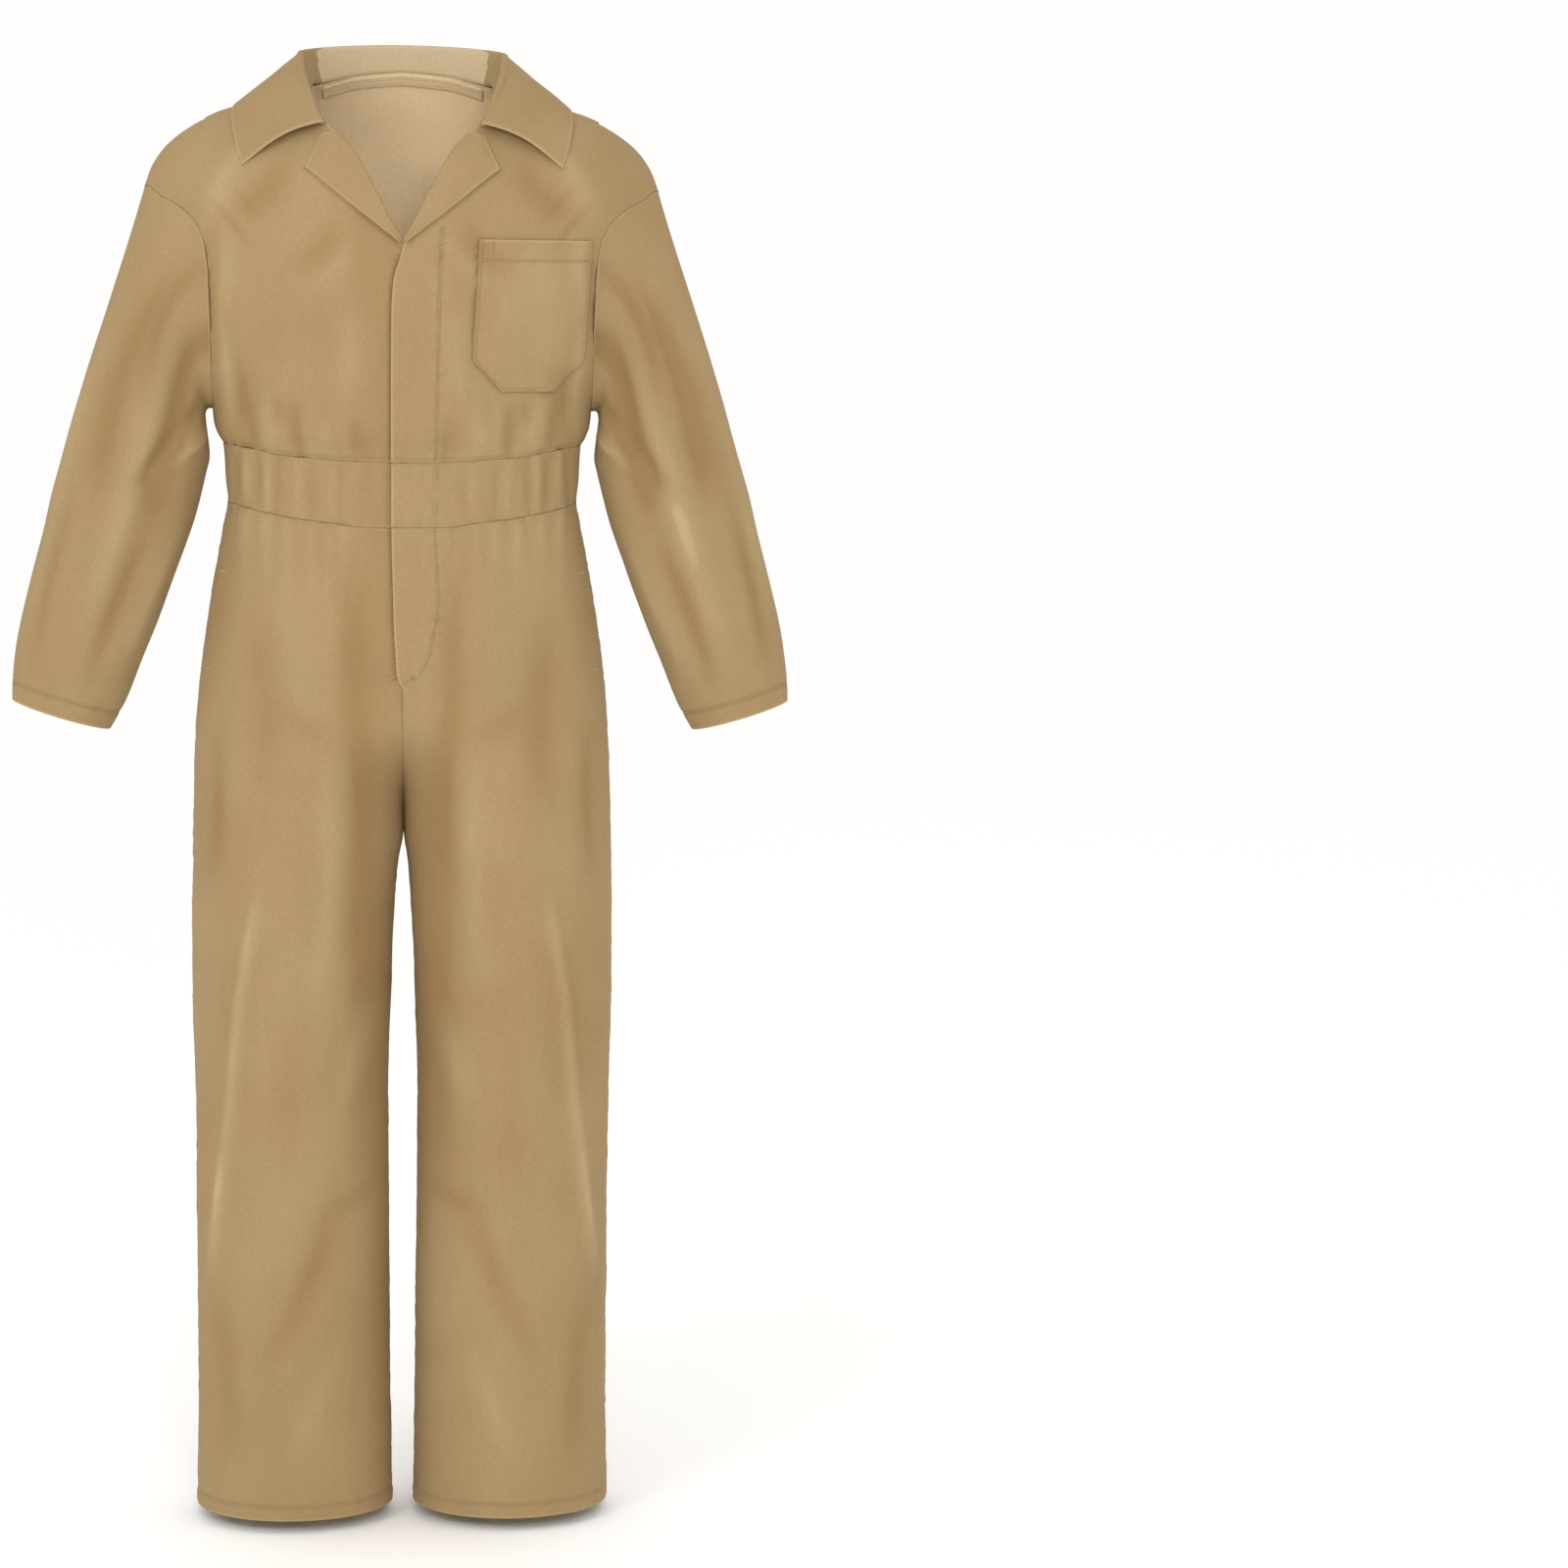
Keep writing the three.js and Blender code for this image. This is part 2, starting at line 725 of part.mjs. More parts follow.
const SLEEVE_PLACES = sleeve();
addPiece('sleeve_left', SLEEVE_PLACES, { closed: true });
addPiece('sleeve_right', mirrored(SLEEVE_PLACES), { closed: true });

// Waistband
const WAISTBAND_ROWS = 2;
const WAISTBAND_STEPS = 11;
const ELASTIC_FROM_X = 138;
const ELASTIC_STEPS = 4 * ELASTIC_RIBS;

function waistbandHeight(x, share) {
  const high = WAIST_TOP.read('z', Math.abs(x)) - HALF_SEAM;
  const low = WAIST_BOTTOM.read('z', Math.abs(x)) + HALF_SEAM;
  return mix(high, low, share);
}

function waistbandEndX(share) {
  let x = 178;
  for (let pass = 0; pass < 6; pass += 1) {
    x = SECTIONS.read('halfWidth', waistbandHeight(x, share));
  }
  return x;
}

function waistband(side, rowCount, count, fromX, toX, raise) {
  return steps(rowCount).map((share) => steps(count).map((t) => {
    const end = toX ?? waistbandEndX(share);
    const low = Math.asin(fromX / waistbandEndX(share));
    const high = Math.asin(Math.min(1, end / waistbandEndX(share)));
    const x = waistbandEndX(share) * Math.sin(mix(low, high, t));
    return bodyPlace(x, waistbandHeight(x, share), side, raise(x, share, t));
  }));
}

addPiece('waistband_front_left', waistband(
  'front', WAISTBAND_ROWS, WAISTBAND_STEPS, -11.2, null, () => 0,
));
addPiece('waistband_front_right', mirrored(waistband(
  'front', WAISTBAND_ROWS, WAISTBAND_STEPS, -UNDERLAP, null,
  (x) => lapInset(x, -358),
)));
addPiece('waistband_back', waistband(
  'back', WAISTBAND_ROWS, WAISTBAND_STEPS, HALF_SEAM - ELASTIC_FROM_X, ELASTIC_FROM_X - HALF_SEAM,
  () => 0,
));

const ELASTIC = waistband(
  'back', WAISTBAND_ROWS + 1, ELASTIC_STEPS, ELASTIC_FROM_X + HALF_SEAM, null,
  (x, share, t) => {
    const swell = 0.6 + 0.4 * Math.sin(Math.PI * share);
    return -ELASTIC_RIB_HEIGHT * swell * Math.sin(ELASTIC_RIBS * Math.PI * t) ** 2;
  },
);
addPiece('waistband_elastic_left', ELASTIC);
addPiece('waistband_elastic_right', mirrored(ELASTIC));

// Trousers. Across, a place runs from 0 at the inner seam to 1 at the side seam. Above the rise the
// two legs share one ellipse, and below the crotch each leg has its own.
const LEG_ROWS = [
  -455, -480, -512, -545, -567, -585, -614, -645, -675, -705, -735, -771,
  -815, -875, -945, -1015, -1090, -1165, -1240, -1310, -1375, HEM_Z,
];
const LEG_TOP_ROWS = [0, 8, 19];
const LEG_STEPS = 11;
const LEVEL_BELOW = 90;
const TURN_GAP = 0.0005;
const RISE_FULLNESS = 0.15;
const RISE_SKEW = 0.75;

function legPoint(turn, z, side) {
  const way = side === 'front' ? -1 : 1;
  const halfWidth = SECTIONS.read('halfWidth', z);
  const inner = SECTIONS.read('inner', z);
  const parted = smoothstep(RISE_TOP_Z, CROTCH_Z, z);
  const full = 1 + RISE_FULLNESS * Math.sin(Math.PI * parted ** RISE_SKEW);
  const depth = SECTIONS.read(side, z) * way * full;
  const quarter = (turn * Math.PI) / 2;
  const half = turn * Math.PI;
  const radius = (halfWidth - inner) / 2;
  return new THREE.Vector3(
    mix(halfWidth * Math.sin(quarter), inner + radius - radius * Math.cos(half), parted),
    mix(depth * Math.cos(quarter), depth * Math.sin(half), parted),
    z,
  );
}

function legNormal(turn, z, side) {
  const across = legPoint(turn + 0.002, z, side).sub(legPoint(turn - 0.002, z, side));
  const down = legPoint(turn, z - 1, side).sub(legPoint(turn, z + 1, side));
  const normal = across.cross(down).normalize();
  return side === 'front' ? normal.negate() : normal;
}

// The turn at which a trouser section has a given x
function turnAt(x, z, side) {
  let low = -0.3;
  let high = 1;
  for (let pass = 0; pass < 40; pass += 1) {
    const middle = (low + high) / 2;
    if (legPoint(middle, z, side).x < x) low = middle;
    else high = middle;
  }
  return (low + high) / 2;
}

function legPlace(turn, z, side, raise) {
  const point = legPoint(turn, z, side);
  return place(point, legNormal(turn, z, side), raise(point.x, z));
}

// Rows below the waist seam follow its dip and then level out
function legHeight(x, level) {
  const seam = WAIST_BOTTOM.read('z', Math.abs(x));
  const sideSeam = WAIST_BOTTOM.read('z', 174);
  const dip = smoothstep(sideSeam - LEVEL_BELOW, sideSeam, level);
  return level + (seam - sideSeam) * dip;
}

function legRow(side, count, level, startX, raise) {
  const from = level > FLY_END_Z - 8 ? turnAt(startX(level), level, side) : TURN_GAP;
  return steps(count, from, 1 - TURN_GAP).map((turn) => {
    const x = SECTIONS.read('halfWidth', level) * Math.sin((turn * Math.PI) / 2);
    return legPlace(turn, legHeight(x, level), side, raise);
  });
}

function trouser(side, startX, raise, fine) {
  const seam = WAIST_BOTTOM.read('z', 174) - HALF_SEAM;
  return [
    ...LEG_TOP_ROWS.map((below) => legRow(side, fine * LEG_STEPS, seam - below, startX, raise)),
    ...LEG_ROWS.map((level, i) => {
      const count = fine > 2 && i < 1 ? 2 * LEG_STEPS : LEG_STEPS;
      return legRow(side, count, level, startX, raise);
    }),
  ];
}

function belowWaist(x, z) {
  return WAIST_BOTTOM.read('z', Math.abs(x)) - z;
}

function trouserFrontRelief(x, z) {
  return foldRelief(TROUSER_FRONT_FOLDS, x, z)
    + gatherRelief(FRONT_GATHERS, x, belowWaist(x, z));
}

function trouserBackRelief(x, z) {
  return foldRelief(TROUSER_BACK_FOLDS, x, z)
    + gatherRelief(BACK_GATHERS, x, belowWaist(x, z));
}

function trouserLapInset(x, z) {
  const across = smoothstep(UNDERLAP_FADE, UNDERLAP_FULL, x);
  return -UNDERLAP_INSET * across * smoothstep(-640, FLY_END_Z - 4, z);
}

addPiece('trouser_front_left', trouser(
  'front', (z) => -FLY_EDGE.read('lap', z), trouserFrontRelief, 2,
));
addPiece('trouser_front_right', mirrored(trouser(
  'front', (z) => -FLY_EDGE.read('under', z),
  (x, z) => trouserFrontRelief(x, z) + trouserLapInset(x, z), 2,
)));
const TROUSER_BACK = trouser('back', () => HALF_SEAM, trouserBackRelief, 4);
addPiece('trouser_back_left', TROUSER_BACK);
addPiece('trouser_back_right', mirrored(TROUSER_BACK));

// Patch pockets, from the panel's own surface moved out. Their lower corners are cut off.
const CHEST_POCKET = table(['z', 'inner', 'outer'], [
  [-138, 75, 186.5],
  [-158, 74, 186],
  [-205, 71.5, 182.5],
  [-254, 68.5, 178],
  [-270, 82, 165],
  [-287, 97, 150],
]);
const CHEST_POCKET_ROWS = [-138, -158, -182, -206, -230, -254, -270, -287];
const HIP_POCKET = table(['z', 'inner', 'outer'], [
  [-468, 72.5, 182],
  [-484, 71.5, 185],
  [-543, 67, 194],
  [-622, 60, 203],
  [-640, 75, 190],
  [-658, 92, 176],
]);
const HIP_POCKET_ROWS = [-468, -484, -512, -543, -570, -596, -622, -640, -658];
const POCKET_STEPS = 7;
const HIP_POCKET_STEPS = 10;
const HIP_POCKET_LIFT = 0.5;
const POCKET_FULLNESS = 2.2;

function pocketFullness(share, down) {
  return POCKET_FULLNESS * Math.sin(Math.PI * share) * Math.sin(Math.PI * down ** 0.8);
}

function pocketRaise(share, levels, z) {
  const down = (z - levels[0]) / (levels[levels.length - 1] - levels[0]);
  return ON_PANEL + pocketFullness(share, down);
}

addPiece('chest_pocket', CHEST_POCKET_ROWS.map((z) => steps(POCKET_STEPS).map((share) => {
  const x = mix(CHEST_POCKET.read('inner', z), CHEST_POCKET.read('outer', z), share);
  const raised = pocketRaise(share, CHEST_POCKET_ROWS, z);
  return bodyPlace(x, z, 'front', raised + frontRelief(x, z));
})));

addPiece('hip_pocket', mirrored(HIP_POCKET_ROWS.map((z) => {
  const from = turnAt(HIP_POCKET.read('inner', z), z, 'back');
  const to = turnAt(HIP_POCKET.read('outer', z), z, 'back');
  return steps(HIP_POCKET_STEPS).map((share) => {
    const raised = HIP_POCKET_LIFT + pocketRaise(share, HIP_POCKET_ROWS, z);
    return legPlace(mix(from, to, share), z, 'back', (x) => raised + trouserBackRelief(x, z));
  });
})));

// Lapels: the turned-back front edges, from the roll line to their own edge
const LAPEL = table(['share', 'rollX', 'rollZ', 'edgeX', 'edgeZ'], [
  [0, 74, -34, 80, -38],
  [0.12, 66, -43, 85, -49],
  [0.3, 52, -58, 94.6, -69],
  [0.45, 42, -71, 78, -82],
  [0.62, 32, -90, 57, -99],
  [0.8, 19, -115, 32, -119],
  [1, 5, -138, 8.5, -138.5],
]);
const LAPEL_ROWS = [0, 0.15, 0.3, 0.44, 0.58, 0.72, 0.86, 1];
const LAPEL_STEPS = 4;

const LAPEL_PLACES = LAPEL_ROWS.map((share) => steps(LAPEL_STEPS).map((across) => {
  const x = mix(LAPEL.read('rollX', share), LAPEL.read('edgeX', share), across);
  const z = mix(LAPEL.read('rollZ', share), LAPEL.read('edgeZ', share), across);
  return bodyPlace(x, z, 'front', ON_PANEL + 1.2 * Math.sin(Math.PI * across));
}));
addPiece('lapel_left', LAPEL_PLACES);
addPiece('lapel_right', mirrored(LAPEL_PLACES));

// Collar. Each station from the middle of the back, 0, to the front notch, 1, has its seam on the
// neck edge, the top of the stand where the collar rolls over, and the free edge on the body. A
// side of 1 is the back, -1 the front and 0 the shoulder ridge.
const COLLAR = table([
  'station', 'seamX', 'seamZ', 'seamSide', 'rollX', 'rollY', 'rollZ', 'edgeX', 'edgeZ',
  'edgeSide',
], [
  [0, 0, 31, 1, 0, 74, 58, 0, -21, 1],
  [0.2, 30, 28.8, 1, 34, 70, 57, 50, -20, 1],
  [0.4, 60, 23, 1, 67, 55, 55, 100, -16.5, 1],
  [0.55, 80, 17, 1, 89, 31, 52, 141, -10.5, 1],
  [0.68, 90, 13, 0, 99, 0, 48, 166, -9, 0],
  [0.8, 88.5, 6, -1, 98, -32, 34, 169, -19, -1],
  [0.9, 85, -7, -1, 90, -62, 9, 165, -41, -1],
  [1, 78, -29, -1, 75.5, -90, -26, 157, -69, -1],
]);
const COLLAR_STATIONS = 13;
const STAND_STEPS = 2;
const ROLL_STEPS = 3;
const FALL_STEPS = 5;
const ROLL_RADIUS = 4;
const COLLAR_CLEAR = 3;
const STAND_CLEAR = 0.9;
const COLLAR_END_BOW = 8;

function onBody(x, z, side) {
  const depth = bodyDepth(x, z, side < 0 ? 'front' : 'back');
  return new THREE.Vector3(x, depth * Math.sign(side), z);
}

function rollAt(station) {
  const way = Math.sign(station) || 1;
  const at = Math.abs(station);
  return new THREE.Vector3(
    way * COLLAR.read('rollX', at), COLLAR.read('rollY', at), COLLAR.read('rollZ', at),
  );
}

function collarSection(station) {
  const way = Math.sign(station) || 1;
  const at = Math.abs(station);
  const seamSide = Math.sign(Math.round(COLLAR.read('seamSide', at) * 50));
  const edgeSide = Math.sign(Math.round(COLLAR.read('edgeSide', at) * 50));
  const seam = clearOfBody(
    onBody(way * COLLAR.read('seamX', at), COLLAR.read('seamZ', at), seamSide),
    mix(STAND_CLEAR, COLLAR_CLEAR, smoothstep(0.78, 0.94, at)),
  );
  const edge = clearOfBody(
    onBody(way * COLLAR.read('edgeX', at), COLLAR.read('edgeZ', at), edgeSide),
    COLLAR_CLEAR,
  );
  const top = rollAt(station);
  const up = top.clone().sub(seam).normalize();
  const along = rollAt(station + 0.02).sub(rollAt(station - 0.02)).normalize();
  const out = up.clone().cross(along).normalize();
  const radius = mix(ROLL_RADIUS, COLLAR_CLOTH + 1, at ** 4);
  const centre = top.clone().addScaledVector(up, -radius).addScaledVector(out, radius);
  const points = [];
  const standTop = centre.clone().addScaledVector(out, -radius);
  for (const share of steps(STAND_STEPS).slice(0, -1)) {
    points.push(seam.clone().lerp(standTop, share));
  }
  for (const share of steps(ROLL_STEPS)) {
    const turn = share * Math.PI * 0.9;
    points.push(centre.clone().addScaledVector(out, -radius * Math.cos(turn))
      .addScaledVector(up, radius * Math.sin(turn)));
  }
  const start = points[points.length - 1].clone();
  for (const share of steps(FALL_STEPS).slice(1)) {
    const point = start.clone().lerp(edge, share);
    point.z += COLLAR_END_BOW * at ** 10 * Math.sin(Math.PI * share);
    points.push(clearOfBody(point, COLLAR_CLEAR));
  }
  return points;
}

// Normals of an open sheet from its neighbours, all on one side of the sheet
function sheetPlaces(grid, flip) {
  return grid.map((row, i) => row.map((point, j) => {
    const across = row[Math.min(row.length - 1, j + 1)].clone().sub(row[Math.max(0, j - 1)]);
    const after = grid[Math.min(grid.length - 1, i + 1)][j];
    const before = grid[Math.max(0, i - 1)][j];
    const normal = after.clone().sub(before).cross(across).normalize();
    return place(point, flip ? normal.negate() : normal);
  }));
}

const COLLAR_GRID = steps(2 * COLLAR_STATIONS, -1, 1).map(collarSection);
addPiece('collar', sheetPlaces(COLLAR_GRID, false), { thickness: COLLAR_CLOTH });

// Tape inside the back neck, on the inner face of the back
const TAPE_WIDTH = 10;
const TAPE_COLUMNS = 3;
const TAPE_INSET = CLOTH + 1.4;
const TAPE_HALF_LENGTH = (TAPE_COLUMNS * 2 * PLEAT_EDGE[0][0]) / BACK_STEPS;
const TAPE_PLACES = [2, 2 + TAPE_WIDTH].map((below) => (
  steps(2 * TAPE_COLUMNS, -TAPE_HALF_LENGTH, TAPE_HALF_LENGTH).map((x) => (
    bodyPlace(x, BACK_TOP.read('z', Math.abs(x)) - below, 'back', -TAPE_INSET)
  ))
));
addPiece('neck_tape', TAPE_PLACES, { thickness: TAPE_CLOTH, look: TAPE_LOOK });

export default suit;
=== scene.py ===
"""A khaki cotton boiler suit, filled out and hollow, made from the pieces that a maker cuts and sews.

Surfaces are worked out in millimetres, +Z up, the front facing -Y and the wearer's left at +X, and
become metres when a mesh is made. Every cut piece is a thin closed shell of cloth.
"""

import math

import bpy
import numpy as np
from mathutils import Matrix, Vector
from mathutils.bvhtree import BVHTree


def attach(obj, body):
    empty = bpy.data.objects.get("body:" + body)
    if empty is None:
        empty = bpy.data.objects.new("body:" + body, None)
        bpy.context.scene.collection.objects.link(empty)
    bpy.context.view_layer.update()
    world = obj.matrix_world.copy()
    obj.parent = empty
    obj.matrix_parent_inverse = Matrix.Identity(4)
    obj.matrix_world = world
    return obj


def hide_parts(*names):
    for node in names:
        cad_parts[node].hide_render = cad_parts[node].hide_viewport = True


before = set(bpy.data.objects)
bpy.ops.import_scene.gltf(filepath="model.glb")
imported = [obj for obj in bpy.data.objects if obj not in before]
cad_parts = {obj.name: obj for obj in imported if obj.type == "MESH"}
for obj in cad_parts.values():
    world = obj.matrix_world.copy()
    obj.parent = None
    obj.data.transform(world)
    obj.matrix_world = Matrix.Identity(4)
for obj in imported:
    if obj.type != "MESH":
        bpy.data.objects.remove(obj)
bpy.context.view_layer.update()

bl_info = {
    "name": "Boiler suit",
    "version": (1, 0, 0),
    "blender": (4, 5, 0),
    "location": "3D View > Sidebar > Boiler suit",
    "description": "Makes a filled-out cotton boiler suit from its cut pieces",
    "category": "Add Mesh",
}

MM = 0.001

# Seams, layers and laps, in millimetres
HALF_SEAM = 0.15
LAYER_GAP = 0.5
UNDERARM_X = 190.0
UNDERARM_Z = -310.0
FLY_END_Z = -574.0
RISE_TOP_Z = -585.0
CROTCH_Z = -735.0
HEM_Z = -1437.0
SHOULDER_ROUND = 120.0
UNDERLAP = 34.0
UNDERLAP_INSET = 2.3
UNDERLAP_FULL = 30.0
UNDERLAP_FADE = 62.0
LAP_INSET_FROM_Z = -84.0
LAP_INSET_FULL_Z = -118.0
PLEAT_UNDERLAP = 22.0
PLEAT_RAISE = 1.5
PLEAT_SINK = 1.3


def lerp(start, end, share):
    return start + (end - start) * share


def smooth(start, end, value):
    """0 at start, 1 at end, with an even curve between."""
    share = np.clip((value - start) / (end - start), 0.0, 1.0)
    return share * share * (3.0 - 2.0 * share)


def unit(vectors):
    length = np.linalg.norm(vectors, axis=-1, keepdims=True)
    return vectors / np.maximum(length, 1e-9)


class Table:
    """Rows under named columns, read along a smooth curve that never overshoots its rows."""

    def __init__(self, columns, rows):
        data = np.array(sorted(rows), float)
        self.keys = data[:, 0]
        self.values = {name: data[:, i] for i, name in enumerate(columns)}

    def read(self, name, at):
        keys, values = self.keys, self.values[name]
        step = np.diff(values) / np.diff(keys)
        slope = np.empty(len(keys))
        slope[0], slope[-1] = step[0], step[-1]
        product = step[:-1] * step[1:]
        total = np.where(product > 0, step[:-1] + step[1:], 1.0)
        slope[1:-1] = np.where(product > 0, 2.0 * product / total, 0.0)
        at = np.clip(at, keys[0], keys[-1])
        low = np.clip(np.searchsorted(keys, at, side="right") - 1, 0, len(keys) - 2)
        width = keys[low + 1] - keys[low]
        k = (at - keys[low]) / width
        return (
            values[low] * (1 + 2 * k) * (1 - k) ** 2
            + slope[low] * width * k * (1 - k) ** 2
            + values[low + 1] * k * k * (3 - 2 * k)
            + slope[low + 1] * width * k * k * (k - 1)
        )


SECTIONS = Table(("z", "inner", "halfWidth", "front", "back"), [
    (60, 0, 270, 92, 84),
    (0, 0, 288, 102, 95),
    (-60, 0, 288, 112, 107),
    (-100, 0, 270, 117, 111),
    (-140, 0, 247, 119, 112),
    (-200, 0, 229, 120, 110),
    (-255, 0, 210, 119, 106),
    (-290, 0, 197, 118, 102),
    (-310, 0, 190.5, 117, 99),
    (-325, 0, 189, 116, 97),
    (-335, 0, 185, 113, 93),
    (-344, 0, 179.5, 108, 88),
    (-358, 0, 178.5, 104, 84),
    (-380, 0, 177.5, 102, 82),
    (-400, 0, 175.5, 102, 82),
    (-420, 0, 179, 104, 86),
    (-440, 0, 182.5, 107, 95),
    (-490, 0, 191.7, 110, 109),
    (-530, 0, 198.3, 110, 116),
    (-570, 0, 203.6, 109, 119),
    (-610, 0, 207.3, 107, 119),
    (-650, 0, 209.5, 106, 117),
    (-690, 0, 211.2, 105, 113),
    (-735, 0.3, 212.5, 105, 110),
    (-771, 5, 213, 105, 110),
    (-811, 8, 213.4, 103, 108),
    (-893, 12, 213.9, 99, 103),
    (-1015, 14.6, 211.5, 94, 96),
    (-1138, 14.1, 210.7, 91, 92),
    (-1305, 12.7, 210.2, 88, 88),
    (-1437, 10.7, 211.5, 86, 86),
])

SHOULDER = Table(("x", "z"), [
    (0, 78), (30, 72), (55, 52), (75, 28), (90, 13), (120, 4), (150, -4), (178, -13),
    (196, -21), (207, -27), (233, -46), (248, -66), (257, -89), (264, -112),
])
BACK_TOP = Table(("x", "z"), [
    (0, 31), (48, 26), (75, 18), (90, 13), (120, 4), (150, -4), (178, -13), (196, -21),
    (207, -27), (233, -46), (248, -66), (257, -89),
])
WAIST_TOP = Table(("x", "z"), [
    (0, -358), (40, -357.5), (86, -354.5), (107, -353.5), (144, -348), (178, -343),
])
WAIST_BOTTOM = Table(("x", "z"), [
    (0, -422), (40, -421.5), (78, -417), (106, -414), (144, -408), (174, -402),
])
ARMHOLE = [
    (257, -89), (240, -97), (220, -108), (203, -124), (195.5, -142), (192.5, -165),
    (191, -195), (190.2, -250), (190, -285), (UNDERARM_X, UNDERARM_Z),
]
NECK_EDGE = [
    (90, 13), (87.5, 1), (83, -13), (74.5, -25.5), (63, -37.5), (52, -50), (41.5, -66),
    (32, -84.5), (22.5, -103), (12.5, -122), (2, -141),
]
LAP_EDGE = [
    (-3, -158), (-7, -170), (-9.5, -183), (-11, -211), (-11.5, -288), (-11.5, -358),
]
UNDERLAP_EDGE = [
    (-8, -154), (-20, -170), (-31, -192), (-UNDERLAP, -225), (-UNDERLAP, -358),
]
PLEAT_EDGE = [
    (196, -21), (193, -34), (183, -117), (173, -165), (161, -222), (151, -271),
    (144, -310), (137.5, -352),
]
FLY_EDGE = Table(("z", "lap", "under"), [
    (-400, 10.8, 34), (-422, 10.6, 34), (-520, 8.7, 33), (-548, 7, 27), (-567, 5.8, 12),
    (FLY_END_Z, 4, 2), (-582, -HALF_SEAM, -HALF_SEAM),
])
# The stitched edge of the fly's facing: how far from the middle line it runs
FLY_STITCH = Table(("z", "x"), [
    (-134, 38), (-160, 37), (-355, 33), (-423, 32), (-500, 35), (-530, 30), (-550, 26),
    (-562, 21), (-570, 12), (-574, 3),
])

# Soft folds: straight lines on the cloth that bow sideways and fade at their ends. Columns: fromX,
# fromZ, toX, toZ, half width, height (a ridge above zero, a trough below), bow.
FRONT_FOLDS = [
    (148, -352, 163, -262, 11, -3.6, 3),
    (103, -356, 108, -296, 9, -2.8, 2),
    (170, -330, 184, -210, 8, 2.8, -3),
    (40, -356, 52, -310, 10, -2, 0),
    (128, -352, 134, -300, 8, 3, -2),
    (112, -60, 168, -120, 15, -2.6, 4),
    (150, -46, 192, -118, 11, 2.2, -5),
    (196, -150, 184, -250, 8, -3, -4),
    (176, -128, 182, -215, 9, 1.8, 5),
    (60, -120, 112, -172, 13, -2, 6),
    (193, -98, 147, -152, 3.6, -1.4, 2),
    (180, -96, 148, -130, 3.4, 0.6, -2),
    (172, -84, 143, -118, 3.2, -0.9, 1.5),
    (48, -142, 88, -186, 8, 1.4, 3),
    (52, -205, 58, -300, 15, 1.6, 4),
    (118, -292, 140, -338, 9, -2, 0),
    (76, -318, 84, -356, 8, 1.7, 0),
]
BACK_FOLDS = [
    (60, -356, 52, -290, 12, -2.6, 2),
    (22, -357, 30, -310, 10, -1.8, 0),
    (98, -356, 92, -300, 11, 2.4, -2),
    (118, -80, 84, -150, 22, -1.5, 6),
    (62, -105, 70, -345, 13, -1.8, 5),
    (24, -90, 19, -335, 12, 1.3, -4),
    (150, -60, 142, -190, 13, -1.7, -6),
    (120, -150, 112, -290, 14, 1.5, 5),
    (2, -110, 5, -330, 13, -1.4, 3),
]
BACK_SIDE_FOLDS = [
    (163, -240, 157, -352, 6, -5, 0),
    (171, -285, 168, -350, 7, 3.4, 0),
    (180, -230, 186, -330, 7, -2.4, 0),
]
TROUSER_FRONT_FOLDS = [
    (46, -600, 34, -770, 16, -3, 2),
    (58, -455, 54, -640, 15, -2.6, 4),
    (44, -700, 40, -1090, 19, -2.6, 5),
    (74, -640, 84, -900, 14, 2, 8),
    (146, -790, 166, -905, 6.5, 3.6, 0),
    (163, -880, 178, -1040, 6.5, 3.8, 0),
    (176, -1015, 197, -1190, 6, 3.6, 0),
    (150, -830, 172, -1010, 20, -1.8, -12),
    (24, -1092, 74, -1112, 12, -1.7, 5),
    (66, -1096, 138, -1275, 14, -2.3, 7),
    (62, -1250, 120, -1380, 13, 1.5, 3),
    (60, -640, 128, -590, 15, -1.6, 5),
    (30, -900, 60, -1010, 14, 2, 0),
    (150, -500, 142, -700, 17, -2, 6),
    (188, -620, 192, -780, 8, -2.4, 3),
    (98, -900, 112, -1090, 18, -1.1, -7),
    (190, -1200, 176, -1390, 12, -1.7, 4),
]
TROUSER_BACK_FOLDS = [
    (20, -735, 128, -792, 17, -3.6, 6),
    (24, -775, 112, -852, 18, 2.2, 4),
    (24, -860, 60, -1000, 13, 2.4, 4),
    (60, -1000, 92, -1260, 14, 2.5, -5),
    (182, -790, 180, -1060, 11, 2.4, 0),
    (150, -880, 120, -1120, 20, -3.4, 6),
    (40, -1120, 110, -1330, 16, -3, 5),
    (40, -690, 130, -668, 12, -2.2, 5),
    (20, -640, 52, -735, 13, 2, 4),
    (190, -1100, 170, -1330, 12, -2.2, -4),
]
# Along x: degrees from the sleeve's outer side towards the front. Along z: down the sleeve.
SLEEVE_FOLDS = [
    (128, -205, 118, -420, 13, -6.5, 4),
    (104, -250, 92, -545, 11, 3, 3),
    (60, -170, 68, -400, 14, -4.4, 4),
    (150, -300, 96, -392, 9, -5.2, 5),
    (150, -420, 138, -570, 12, 2.6, 0),
    (24, -200, 30, -520, 14, 2.4, 3),
    (-52, -190, -60, -430, 14, -4.2, -4),
    (-98, -260, -90, -540, 12, 3, 3),
    (-132, -300, -122, -470, 12, -4.4, 4),
    (-20, -330, -24, -560, 11, -3.4, 3),
    (82, -150, 86, -300, 8, -2.9, 3),
    (44, -390, 52, -570, 10, -3.1, 4),
    (172, -330, 120, -368, 7, 3.4, 4),
    (118, -430, 112, -590, 8, -3.1, 3),
    (-76, -150, -80, -330, 9, 2.9, 3),
    (-150, -340, -108, -402, 8, -3.9, 5),
    (-70, -450, -64, -590, 9, 2.9, 3),
]

